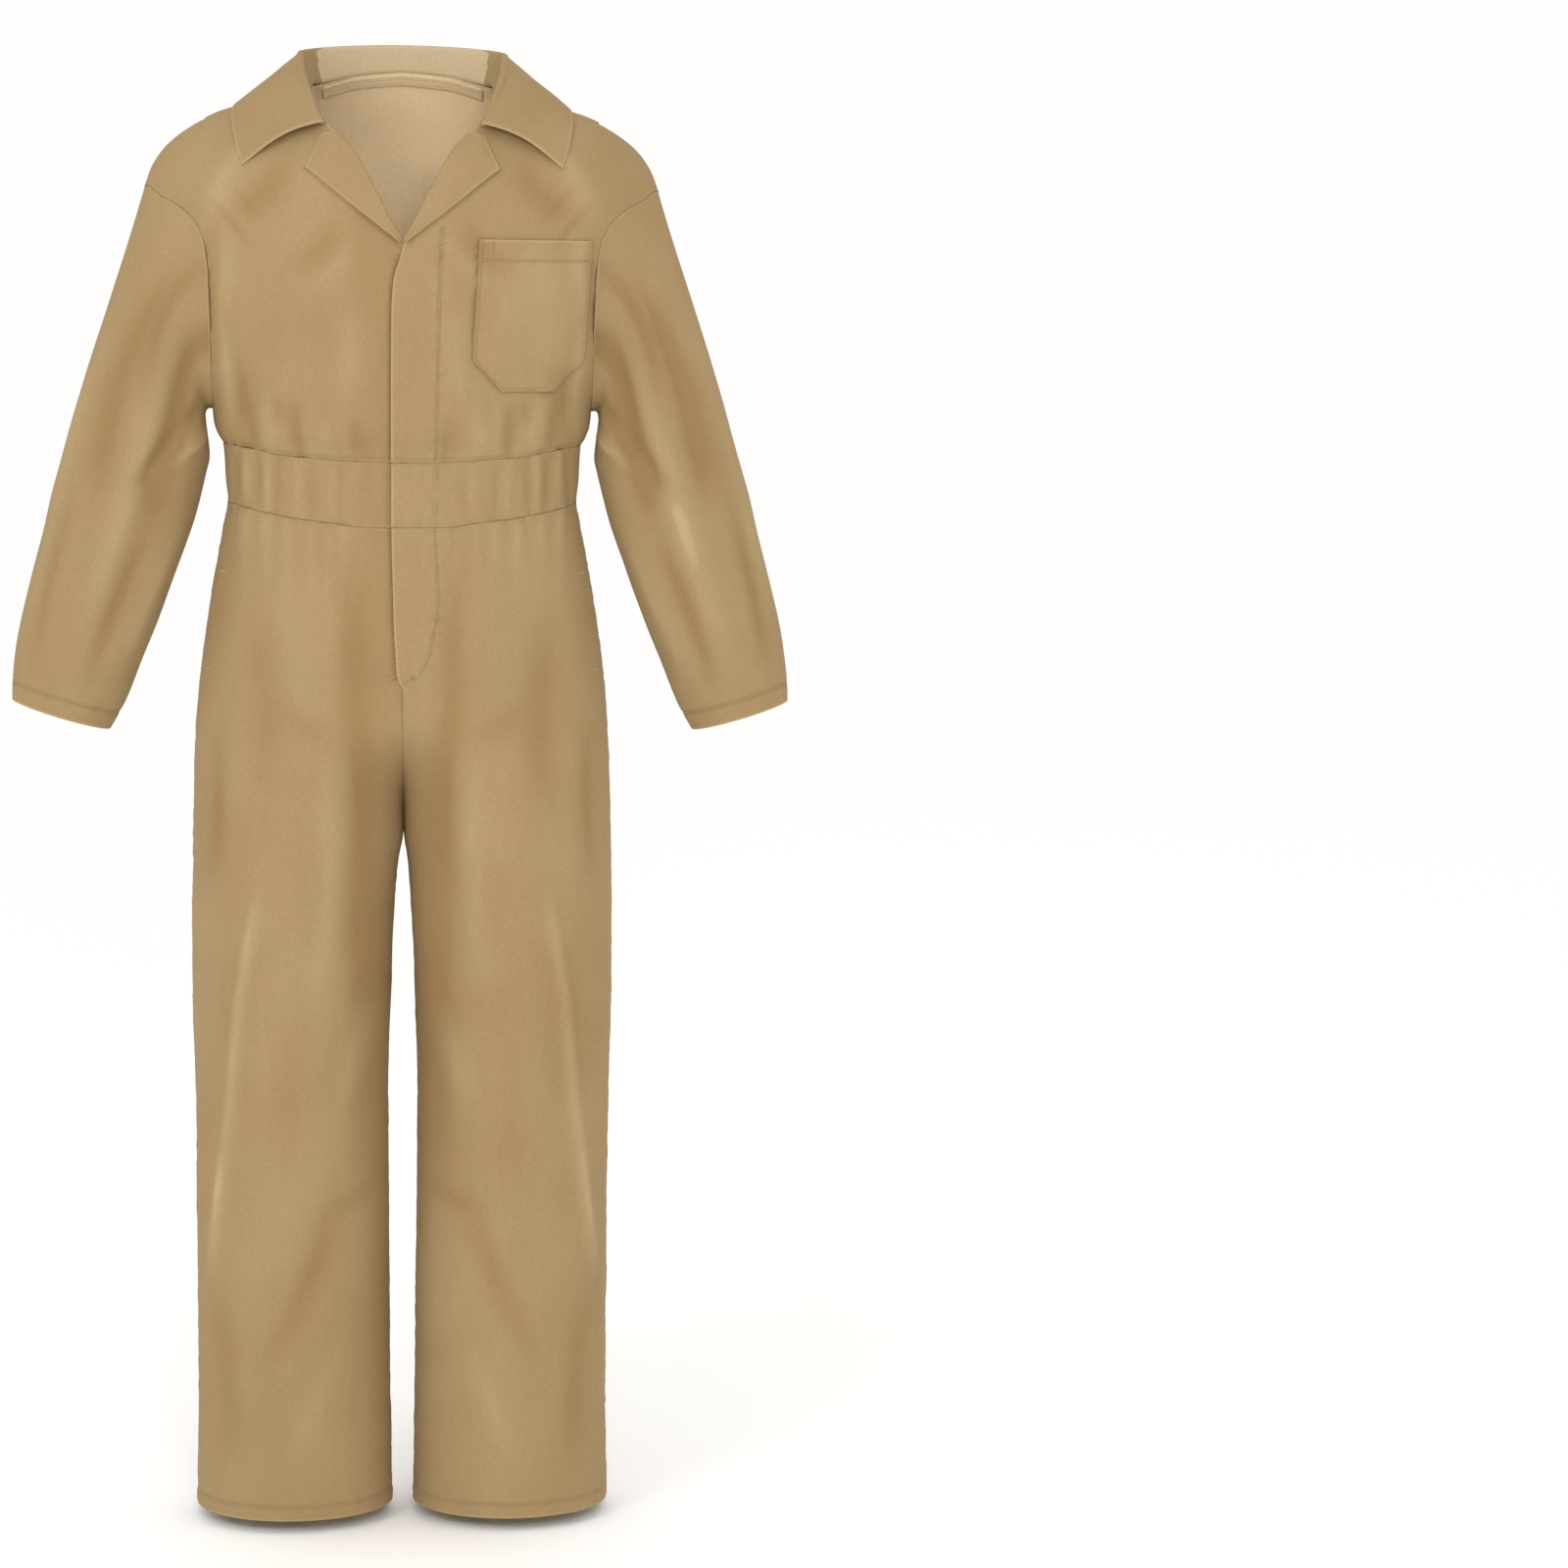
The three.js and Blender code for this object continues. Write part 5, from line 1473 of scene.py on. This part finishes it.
def sew(name, lines, values):
    """Makes the threads along the lines into one plain mesh."""
    guide = lines.guide(f"{name}_line")
    tree = stitch_tree()
    modifier = guide.modifiers.new("stitches", "NODES")
    modifier.node_group = tree
    for socket in tree.interface.items_tree:
        if socket.in_out == "INPUT" and socket.name in values:
            modifier[socket.identifier] = values[socket.name]
    depsgraph = bpy.context.evaluated_depsgraph_get()
    mesh = bpy.data.meshes.new_from_object(guide.evaluated_get(depsgraph), depsgraph=depsgraph)
    mesh.name = name
    guide.modifiers.remove(modifier)
    bpy.data.objects.remove(guide)
    threads = bpy.data.objects.new(name, mesh)
    bpy.context.scene.collection.objects.link(threads)
    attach(threads, "root")


# How far stitches run inside an edge, in millimetres
SEAM_STITCH = 2.2
LAPEL_STITCH = 3.0
COLLAR_STITCH = 3.2
TAPE_STITCHES = (1.8, 4.2, 8.4)
# Bar-tacks: the pieces on which each lies, and its two ends in x and z
FRONT_TACKS = [
    (["leg_front_left"], [(3, -574.5), (17, -568)]),
    (["chest_patch", "front_left"], [(177, -150), (185, -150)]),
    (["chest_patch", "front_left"], [(89, -139), (89, -154)]),
]
SIDE_POCKET_ENDS_Z = (-471, -569)
ELASTIC_TACK = [(134, -352), (134, -412)]


def stitch_bodice(threads):
    lines = StitchLines()
    placket = [(float(FLY_STITCH.read("x", z)), z) for z in range(-138, -573, -6)] + [(3, -574)]
    pieces = ["front_left", "waist_front_left", "leg_front_left"]
    lines.seen(pieces, placket, "front")
    for name in ("front_left", "front_right"):
        lines.beside(name, "bottom", SEAM_STITCH)
    for side in ("left", "right", "bottom"):
        lines.beside("chest_patch", side, POCKET_EDGE_STITCH)
    lines.beside("chest_patch", "top", CHEST_POCKET_HEM)
    for name in ("left", "right"):
        lines.beside(f"lapel_flap_{name}", "right", LAPEL_STITCH, 0.02, 0.96)
    lines.beside("turned_collar", "bottom", COLLAR_STITCH, 0.01, 0.99)
    for side in ("left", "right"):
        lines.beside("turned_collar", side, COLLAR_STITCH, 0.3, 0.96)
    lines.beside("back", "bottom", SEAM_STITCH)
    for inset in TAPE_STITCHES:
        lines.beside("back_neck_tape", "top", inset, inside=TAPE_CLOTH)
    sew("bodice_stitches", lines, threads)


def stitch_sleeves(threads):
    lines = StitchLines()
    for name in ("arm_left", "arm_right"):
        lines.beside(name, "bottom", CUFF_HEM)
        lines.beside(name, "top", SEAM_STITCH)
    sew("sleeve_stitches", lines, threads)


def stitch_trousers(threads):
    lines = StitchLines()
    for name in ("waist_front_left", "waist_front_right", "waist_back"):
        lines.beside(name, "top", SEAM_STITCH)
        lines.beside(name, "bottom", SEAM_STITCH)
    for name in ("left", "right"):
        for side in ("front", "back"):
            lines.beside(f"leg_{side}_{name}", "bottom", LEG_HEM)
            lines.beside(f"leg_{side}_{name}", "top", SEAM_STITCH)
        lines.beside(f"leg_front_{name}", "right", SEAM_STITCH, 0.11, 0.27)
    for side in ("left", "right", "bottom"):
        lines.beside("hip_patch", side, POCKET_EDGE_STITCH)
    lines.beside("hip_patch", "top", HIP_POCKET_HEM)
    sew("trouser_stitches", lines, threads)


def stitch_tacks(threads):
    """Short dense bars of thread where an opening ends."""
    lines = StitchLines()
    for names, ends in FRONT_TACKS:
        lines.seen(names, ends, "front")
    for way in (-1, 1):
        side = "right" if way < 0 else "left"
        for z in SIDE_POCKET_ENDS_Z:
            edge = float(SECTIONS.read("halfWidth", z))
            names = [f"leg_front_{side}"]
            lines.seen(names, [(way * (edge - 11), z), (way * (edge - 3), z)], "front")
        lines.seen(["waist_back"], [(way * x, z) for x, z in ELASTIC_TACK], "back")
    sew("bar_tacks", lines, threads)


# Materials
def srgb(code):
    """Linear colour from an sRGB hex code."""
    values = [int(code[i:i + 2], 16) / 255 for i in (1, 3, 5)]
    return [v / 12.92 if v <= 0.04045 else ((v + 0.055) / 1.055) ** 2.4 for v in values]


def add_node(tree, kind, inputs=None, **settings):
    """Adds a node with its settings and links. A colour may be three linear values."""
    node = tree.nodes.new(kind)
    for name, value in settings.items():
        setattr(node, name, value)
    for name, value in (inputs or {}).items():
        socket = node.inputs[name]
        if isinstance(value, bpy.types.NodeSocket):
            tree.links.new(value, socket)
        elif socket.type == "RGBA" and len(value) == 3:
            socket.default_value = (*value, 1.0)
        else:
            socket.default_value = value
    return node


def new_material(name):
    material = bpy.data.materials.new(name)
    material.use_nodes = True
    material.node_tree.nodes.clear()
    return material, material.node_tree


def finish_material(tree, shader):
    output = add_node(tree, "ShaderNodeOutputMaterial")
    tree.links.new(shader.outputs["BSDF"], output.inputs["Surface"])


# The sockets of a node that mixes two colours share their names, so they go by number
SHARE, FIRST, SECOND, MIXED = 0, 6, 7, 2


def stretched_noise(tree, coordinates, size, detail=2.0):
    """Noise whose grains are this many metres across, down and deep."""
    scaled = add_node(tree, "ShaderNodeMapping", {
        "Vector": coordinates, "Scale": [1.0 / s for s in size],
    })
    noise = add_node(tree, "ShaderNodeTexNoise", {
        "Vector": scaled.outputs["Vector"], "Scale": 1.0, "Detail": detail,
    })
    return noise.outputs["Fac"]


# A twill's lines are 0.6 mm apart. They are drawn twice as wide, because finer ones only flicker
# when the whole garment is in view.
TWILL_PITCH = 0.0012


def woven_cotton(name, face, shade, light, bump):
    """Cotton twill, piece-dyed and washed: slanting twill lines, uneven threads and a slightly
    streaky dye. Painted shade in the troughs and painted highlight on the ridges and crests of folds,
    painted shade along seams and where a layer ends, and edges paler, partly by wear and partly as
    painted highlight."""
    material, tree = new_material(name)
    deep = [v * 0.6 for v in shade]
    uv = add_node(tree, "ShaderNodeUVMap", uv_map="cloth").outputs["UV"]
    place = add_node(tree, "ShaderNodeTexCoord").outputs["Object"]
    across = add_node(tree, "ShaderNodeSeparateXYZ", {"Vector": uv}).outputs
    slant = add_node(
        tree, "ShaderNodeMath", {0: across["X"], 1: across["Y"]}, operation="ADD",
    ).outputs[0]
    phase = add_node(tree, "ShaderNodeMath", {
        0: slant, 1: math.tau / (TWILL_PITCH * math.sqrt(2)),
    }, operation="MULTIPLY").outputs[0]
    twill = add_node(tree, "ShaderNodeMath", {0: phase}, operation="SINE").outputs[0]
    warp = stretched_noise(tree, uv, (0.0009, 0.006, 1), 3.0)
    weft = stretched_noise(tree, uv, (0.007, 0.0011, 1), 3.0)
    threads = add_node(tree, "ShaderNodeMath", {0: warp, 1: weft}, operation="ADD").outputs[0]
    slubs = stretched_noise(tree, uv, (0.0035, 0.05, 1), 3.0)
    cloud = stretched_noise(tree, place, (0.05, 0.05, 0.16), 4.0)
    edge, seam, fold = (
        add_node(tree, "ShaderNodeAttribute", attribute_name=attribute).outputs["Fac"]
        for attribute in ("edge", "seam", "fold")
    )
    # Each value's own range, and what it becomes at the two ends
    raised, cloudy, streaks, grain, lined, rubbed_and_highlit, ridge_highlight, rough = (
        add_node(tree, "ShaderNodeMapRange", {
            "Value": value, "From Min": low, "From Max": high, "To Min": start, "To Max": end,
        }).outputs["Result"]
        for value, low, high, start, end in (
            (fold, 0.1, 0.9, 0.0, 1.0),
            (cloud, 0.3, 0.7, 0.0, 0.22),
            (slubs, 0.3, 0.7, 0.98, 1.02),
            (threads, 0.7, 1.3, 0.92, 1.07),
            (twill, -1.0, 1.0, 0.985, 1.01),
            (edge, 0.05, 0.25, 0.35, 0.0),
            (fold, 0.86, 1.0, 0.0, 0.7),
            (threads, 0.7, 1.3, 0.94, 0.82),
        )
    )
    # Painted shade along seams and beside the ends of layers, and the pale edge, partly wear and
    # partly painted highlight, which stays off sewn edges
    sewn = add_node(tree, "ShaderNodeMath", {0: seam, 1: 0.75}, operation="MULTIPLY").outputs[0]
    unsewn = add_node(tree, "ShaderNodeMath", {0: 1.0, 1: seam}, operation="SUBTRACT").outputs[0]
    worn_and_highlit = add_node(tree, "ShaderNodeMath", {0: rubbed_and_highlit, 1: unsewn}, operation="MULTIPLY").outputs[0]
    toned = streaks
    for other in (grain, lined):
        toned = add_node(
            tree, "ShaderNodeMath", {0: toned, 1: other}, operation="MULTIPLY",
        ).outputs[0]
    grey = add_node(tree, "ShaderNodeCombineColor", {"Red": toned, "Green": toned, "Blue": toned})
    # From painted shade in the troughs to painted highlight on the ridges, then the dye, its clouds,
    #     # painted shade along seams, threads, painted highlight on crests, and edges made pale,
    #     partly by
    #     # wear and partly as painted highlight
    colour = shade
    for share, other, blend in (
        (raised, light, "MIX"),
        (0.5, face, "MIX"),
        (cloudy, shade, "MIX"),
        (sewn, deep, "MIX"),
        (1.0, grey.outputs["Color"], "MULTIPLY"),
        (ridge_highlight, light, "MIX"),
        (worn_and_highlit, light, "MIX"),
    ):
        colour = add_node(tree, "ShaderNodeMix", {
            SHARE: share, FIRST: colour, SECOND: other,
        }, data_type="RGBA", blend_type=blend).outputs[MIXED]
    height = add_node(
        tree, "ShaderNodeMath", {0: twill, 1: 0.35, 2: threads}, operation="MULTIPLY_ADD",
    )
    relief = add_node(tree, "ShaderNodeBump", {
        "Height": height.outputs[0], "Strength": bump, "Distance": 0.0004,
    })
    shader = add_node(tree, "ShaderNodeBsdfPrincipled", {
        "Base Color": colour, "Roughness": rough, "Normal": relief.outputs["Normal"],
        "Specular IOR Level": 0.22, "Sheen Weight": 0.12, "Sheen Roughness": 0.55,
        "Sheen Tint": light,
    })
    finish_material(tree, shader)
    return material


def even_cotton(name, colour, bump):
    """The same twill's reverse, whose tones lie close together, so its painted shade and highlight
    are faint.
    """
    return woven_cotton(
        name, colour, [v * 0.9 for v in colour], [min(1.0, v * 1.08) for v in colour], bump,
    )


# The tape's ribs change their slant along its middle
TAPE_PITCH = 0.0016
TAPE_MIDDLE = 0.005


def twill_tape(name, face, shade):
    """Woven cotton tape with a herringbone of two slanting ribs."""
    material, tree = new_material(name)
    uv = add_node(tree, "ShaderNodeUVMap", uv_map="cloth").outputs["UV"]
    across = add_node(tree, "ShaderNodeSeparateXYZ", {"Vector": uv}).outputs
    value = across["Y"]
    for operation, other in (
        ("ADD", TAPE_MIDDLE), ("ABSOLUTE", 0.0), ("ADD", across["X"]),
        ("MULTIPLY", math.tau / TAPE_PITCH), ("SINE", 0.0),
    ):
        value = add_node(
            tree, "ShaderNodeMath", {0: value, 1: other}, operation=operation,
        ).outputs[0]
    share = add_node(tree, "ShaderNodeMapRange", {
        "Value": value, "From Min": -1.0, "From Max": 1.0, "To Min": 0.0, "To Max": 1.0,
    }).outputs["Result"]
    fuzz = stretched_noise(tree, uv, (0.0012, 0.0012, 1), 2.0)
    height = add_node(tree, "ShaderNodeMath", {0: share, 1: fuzz}, operation="ADD").outputs[0]
    relief = add_node(tree, "ShaderNodeBump", {
        "Height": height, "Strength": 0.5, "Distance": 0.0004,
    })
    colour = add_node(tree, "ShaderNodeMix", {
        SHARE: share, FIRST: shade, SECOND: face,
    }, data_type="RGBA").outputs[MIXED]
    shader = add_node(tree, "ShaderNodeBsdfPrincipled", {
        "Base Color": colour, "Roughness": 0.9, "Normal": relief.outputs["Normal"],
        "Specular IOR Level": 0.2, "Sheen Weight": 0.1,
    })
    finish_material(tree, shader)
    return material


def fibrous(name, face, shade, size, detail, strength, distance, rough, shine):
    """Fibres whose size gives both the relief and the change from shade to face."""
    material, tree = new_material(name)
    place = add_node(tree, "ShaderNodeTexCoord").outputs["Object"]
    fibres = stretched_noise(tree, place, (size, size, size), detail)
    relief = add_node(tree, "ShaderNodeBump", {
        "Height": fibres, "Strength": strength, "Distance": distance,
    })
    colour = add_node(tree, "ShaderNodeMix", {
        SHARE: fibres, FIRST: shade, SECOND: face,
    }, data_type="RGBA").outputs[MIXED]
    shader = add_node(tree, "ShaderNodeBsdfPrincipled", {
        "Base Color": colour, "Roughness": rough, "Normal": relief.outputs["Normal"],
        "Specular IOR Level": shine,
    })
    finish_material(tree, shader)
    return material


def spun_thread(name, face, shade):
    """Sewing thread: two plies twisted together, half a millimetre each, with a slight shine."""
    return fibrous(name, face, shade, 0.0005, 1.0, 0.4, 0.0001, 0.7, 0.3)


def matt_floor(name, colour):
    """Seamless studio paper: fibres of 4 mm that hardly show, and no shine."""
    faint = [v * 0.99 for v in colour]
    return fibrous(name, colour, faint, 0.004, 3.0, 0.05, 0.0003, 0.95, 0.1)


# Settings
class BoilerSuitCloth(bpy.types.PropertyGroup):
    thickness: bpy.props.FloatProperty(
        name="Thickness", description="Thickness of the shown cloth", default=0.0015,
        min=0.001, max=0.003, unit="LENGTH",
    )
    face: bpy.props.FloatVectorProperty(
        name="Face", description="Colour of the cloth's outer face", subtype="COLOR",
        default=srgb("#957E57"), min=0, max=1,
    )
    # Painted shade: the colour in the troughs of folds, and, deepened, along seams and where a layer
    # ends. The dye's clouds drift towards it too.
    shade: bpy.props.FloatVectorProperty(
        name="Deep tone", description="Colour of the dye in the troughs", subtype="COLOR",
        default=srgb("#8B6C42"), min=0, max=1,
    )
    # Painted highlight on the ridges and crests of folds, and the pale edge, partly wear and partly
    # painted highlight. It also tints the sheen.
    light: bpy.props.FloatVectorProperty(
        name="Rubbed tone", description="Colour where folds and edges are worn",
        subtype="COLOR", default=srgb("#B8A27B"), min=0, max=1,
    )
    # Paler than the cloth's reverse is: painted light for the light that the inside of the garment
    # doesn't get. The neck tape takes this colour too.
    inside: bpy.props.FloatVectorProperty(
        name="Reverse", description="Colour of the cloth's inner face", subtype="COLOR",
        default=srgb("#F0D8AE"), min=0, max=1,
    )
    bump: bpy.props.FloatProperty(
        name="Weave", description="Strength of the weave's relief", default=0.5, min=0, max=1,
    )


class BoilerSuitSewing(bpy.types.PropertyGroup):
    pitch: bpy.props.FloatProperty(
        name="Pitch", description="Distance from stitch to stitch", default=0.0038,
        min=0.002, max=0.008, unit="LENGTH",
    )
    length: bpy.props.FloatProperty(
        name="Length", description="Length of one stitch", default=0.0028, min=0.001,
        max=0.007, unit="LENGTH",
    )
    width: bpy.props.FloatProperty(
        name="Thread", description="Thickness of the thread", default=0.0007, min=0.0002,
        max=0.001, unit="LENGTH",
    )
    colour: bpy.props.FloatVectorProperty(
        name="Thread colour", description="Colour of the sewing thread", subtype="COLOR",
        default=srgb("#B9A27A"), min=0, max=1,
    )


class BoilerSuitStage(bpy.types.PropertyGroup):
    floor: bpy.props.FloatVectorProperty(
        name="Floor", description="Colour of the floor", subtype="COLOR",
        default=srgb("#FFFFFF"), min=0, max=1,
    )
    key: bpy.props.FloatProperty(
        name="Key light", description="Power of the soft light at the front left",
        default=24.0, min=0, unit="POWER",
    )
    fill: bpy.props.FloatProperty(
        name="Front light", description="Power of the soft light above the camera",
        default=33.0, min=0, unit="POWER",
    )
    sky: bpy.props.FloatProperty(
        name="Surround", description="Strength of the light from all round", default=1.0,
        min=0,
    )


# The reverse is painted lighter than the cloth, for the light that the inside of the garment doesn't
# # get. The stand's inner face behind the neck is openly lit, so it takes a copy this much darker,
# near
# # the cloth's own reverse
OPEN_REVERSE = 0.6


class Cloth:
    """What the makers of pieces need: the cloth's thickness in millimetres and its materials."""

    def __init__(self, settings):
        self.thickness_mm = settings.thickness / MM
        face, shade, light = (list(getattr(settings, n)) for n in ("face", "shade", "light"))
        inside = list(settings.inside)
        behind_neck = [v * OPEN_REVERSE for v in inside]
        find = bpy.data.materials.get
        self.faces = [
            find("cotton_twill_face") or woven_cotton(
                "cotton_twill_face", face, shade, light, settings.bump,
            ),
            find("cotton_twill_reverse") or even_cotton(
                "cotton_twill_reverse", inside, settings.bump,
            ),
        ]
        self.stand = find("cotton_twill_stand") or even_cotton(
            "cotton_twill_stand", behind_neck, settings.bump,
        )
        self.tape = find("cotton_tape_woven") or twill_tape(
            "cotton_tape_woven", inside, [v * 0.8 for v in inside],
        )


def cloth_of(context):
    return Cloth(context.scene.boiler_suit_cloth)


def threads_of(context, tack=False):
    sewing = context.scene.boiler_suit_sewing
    colour = list(sewing.colour)
    material = bpy.data.materials.get("sewing_thread") or spun_thread(
        "sewing_thread", colour, [v * 0.75 for v in colour],
    )
    if tack:
        return {"Pitch": 0.0007, "Length": 0.0006, "Width": 0.0018, "Material": material}
    return {
        "Pitch": sewing.pitch, "Length": sewing.length, "Width": sewing.width,
        "Material": material,
    }


# Operators
class BOILERSUIT_OT_fronts(bpy.types.Operator):
    """Make the two bodice fronts"""
    bl_idname = "boiler_suit.fronts"
    bl_label = "Bodice fronts"

    def execute(self, context):
        make_bodice_fronts(cloth_of(context))
        return {"FINISHED"}


class BOILERSUIT_OT_back(bpy.types.Operator):
    """Make the bodice back and its two side pieces"""
    bl_idname = "boiler_suit.back"
    bl_label = "Bodice back"

    def execute(self, context):
        make_bodice_back(cloth_of(context))
        return {"FINISHED"}


class BOILERSUIT_OT_sleeves(bpy.types.Operator):
    """Make the two long sleeves"""
    bl_idname = "boiler_suit.sleeves"
    bl_label = "Sleeves"

    def execute(self, context):
        make_sleeves(cloth_of(context))
        return {"FINISHED"}


class BOILERSUIT_OT_waistband(bpy.types.Operator):
    """Make the waistband with its two elastic parts"""
    bl_idname = "boiler_suit.waistband"
    bl_label = "Waistband"

    def execute(self, context):
        make_waistband(cloth_of(context))
        return {"FINISHED"}


class BOILERSUIT_OT_trousers(bpy.types.Operator):
    """Make the fronts and backs of the two legs"""
    bl_idname = "boiler_suit.trousers"
    bl_label = "Trousers"

    def execute(self, context):
        make_trousers(cloth_of(context))
        return {"FINISHED"}


class BOILERSUIT_OT_pockets(bpy.types.Operator):
    """Make the chest pocket and the hip pocket"""
    bl_idname = "boiler_suit.pockets"
    bl_label = "Pockets"

    def execute(self, context):
        make_pockets(cloth_of(context))
        return {"FINISHED"}


class BOILERSUIT_OT_lapels(bpy.types.Operator):
    """Make the two lapels, which fold over the fronts' neck edges"""
    bl_idname = "boiler_suit.lapels"
    bl_label = "Lapels"

    def execute(self, context):
        if "front_left" not in PANELS:
            raise RuntimeError("The bodice fronts come before the lapels")
        make_lapels(cloth_of(context))
        return {"FINISHED"}


class BOILERSUIT_OT_collar(bpy.types.Operator):
    """Make the turned-down collar"""
    bl_idname = "boiler_suit.collar"
    bl_label = "Collar"

    def execute(self, context):
        make_collar(cloth_of(context))
        return {"FINISHED"}


class BOILERSUIT_OT_neck_tape(bpy.types.Operator):
    """Make the tape inside the back of the neck"""
    bl_idname = "boiler_suit.neck_tape"
    bl_label = "Neck tape"

    def execute(self, context):
        make_neck_tape(cloth_of(context))
        return {"FINISHED"}


class BOILERSUIT_OT_stitches(bpy.types.Operator):
    """Sew the seams, hems and edges, and the bars at the ends of openings"""
    bl_idname = "boiler_suit.stitches"
    bl_label = "Stitches"

    def execute(self, context):
        if len(PANELS) < CLOTH_PIECES:
            raise RuntimeError("Every cloth piece comes before the stitches")
        threads = threads_of(context)
        stitch_bodice(threads)
        stitch_sleeves(threads)
        stitch_trousers(threads)
        stitch_tacks(threads_of(context, tack=True))
        return {"FINISHED"}


FLOOR_Z = -1.451
CAMERA_PLACE = Vector((0.0, -4.466458, -0.141588))
CAMERA_AIM = Vector((0.390462, 0.0, -0.690))
CAMERA_ROLL = math.radians(0.608)
CAMERA_LENS = 100.871
SUIT_MIDDLE = (0.0, 0.0, -0.7)
KEY_PLACE, KEY_SIZE = (-1.9, -2.7, 0.9), 1.3
FRONT_PLACE, FRONT_SIZE = (0.25, -3.6, 0.5), 0.9
FLOOR_REACH = 30.0
SKY_COLOUR = (1.0, 0.99, 0.975, 1.0)


def soft_light(name, place, aim, size, power):
    lamp = bpy.data.lights.new(name, "AREA")
    lamp.shape, lamp.size, lamp.energy = "DISK", size, power
    thing = bpy.data.objects.new(name, lamp)
    thing.location = place
    thing.rotation_euler = (Vector(aim) - Vector(place)).to_track_quat("-Z", "Y").to_euler()
    bpy.context.scene.collection.objects.link(thing)


class BOILERSUIT_OT_stage(bpy.types.Operator):
    """Set up the camera, the lights and the floor"""
    bl_idname = "boiler_suit.stage"
    bl_label = "Stage"

    def execute(self, context):
        scene = context.scene
        stage = scene.boiler_suit_stage
        lens = bpy.data.cameras.new("view")
        lens.lens, lens.sensor_width = CAMERA_LENS, 36.0
        lens.clip_start, lens.clip_end = 0.1, 100.0
        camera = bpy.data.objects.new("view", lens)
        turn = (CAMERA_AIM - CAMERA_PLACE).to_track_quat("-Z", "Y").to_matrix().to_4x4()
        roll = Matrix.Rotation(CAMERA_ROLL, 4, "Z")
        camera.matrix_world = Matrix.Translation(CAMERA_PLACE) @ turn @ roll
        scene.collection.objects.link(camera)
        scene.camera = camera
        soft_light("key_light", KEY_PLACE, SUIT_MIDDLE, KEY_SIZE, stage.key)
        soft_light("front_light", FRONT_PLACE, SUIT_MIDDLE, FRONT_SIZE, stage.fill)
        mesh = bpy.data.meshes.new("floor")
        far = FLOOR_REACH
        mesh.from_pydata([
            (-far, -far, FLOOR_Z), (far, -far, FLOOR_Z), (far, far, FLOOR_Z), (-far, far, FLOOR_Z),
        ], [], [(0, 1, 2, 3)])
        mesh.materials.append(matt_floor("studio_paper", list(stage.floor)))
        floor = bpy.data.objects.new("floor", mesh)
        scene.collection.objects.link(floor)
        world = bpy.data.worlds.new("surround")
        world.use_nodes = True
        sky = world.node_tree.nodes["Background"]
        sky.inputs["Color"].default_value = SKY_COLOUR
        sky.inputs["Strength"].default_value = stage.sky
        scene.world = world
        scene.view_settings.view_transform = "Standard"
        return {"FINISHED"}


OPERATORS = [
    BOILERSUIT_OT_stage, BOILERSUIT_OT_fronts, BOILERSUIT_OT_back, BOILERSUIT_OT_sleeves,
    BOILERSUIT_OT_waistband, BOILERSUIT_OT_trousers, BOILERSUIT_OT_pockets,
    BOILERSUIT_OT_lapels, BOILERSUIT_OT_collar, BOILERSUIT_OT_neck_tape,
    BOILERSUIT_OT_stitches,
]


class BOILERSUIT_PT_sidebar(bpy.types.Panel):
    """The garment's settings and the steps that make it"""
    bl_label = "Boiler suit"
    bl_space_type = "VIEW_3D"
    bl_region_type = "UI"
    bl_category = "Boiler suit"

    def draw(self, context):
        scene = context.scene
        groups = (scene.boiler_suit_cloth, scene.boiler_suit_sewing, scene.boiler_suit_stage)
        for group in groups:
            box = self.layout.box()
            for name in group.__annotations__:
                box.prop(group, name)
        for operator in OPERATORS:
            self.layout.operator(operator.bl_idname)


GROUPS = {
    "boiler_suit_cloth": BoilerSuitCloth,
    "boiler_suit_sewing": BoilerSuitSewing,
    "boiler_suit_stage": BoilerSuitStage,
}


def register():
    for kind in [*GROUPS.values(), *OPERATORS, BOILERSUIT_PT_sidebar]:
        bpy.utils.register_class(kind)
    for name, kind in GROUPS.items():
        setattr(bpy.types.Scene, name, bpy.props.PointerProperty(type=kind))


def unregister():
    for name in GROUPS:
        delattr(bpy.types.Scene, name)
    for kind in reversed([*GROUPS.values(), *OPERATORS, BOILERSUIT_PT_sidebar]):
        bpy.utils.unregister_class(kind)


def main():
    register()
    make = bpy.ops.boiler_suit
    make.stage()
    make.fronts()
    make.back()
    make.sleeves()
    make.waistband()
    make.trousers()
    make.pockets()
    make.lapels()
    make.collar()
    make.neck_tape()
    make.stitches()


if __name__ == "__main__":
    main()
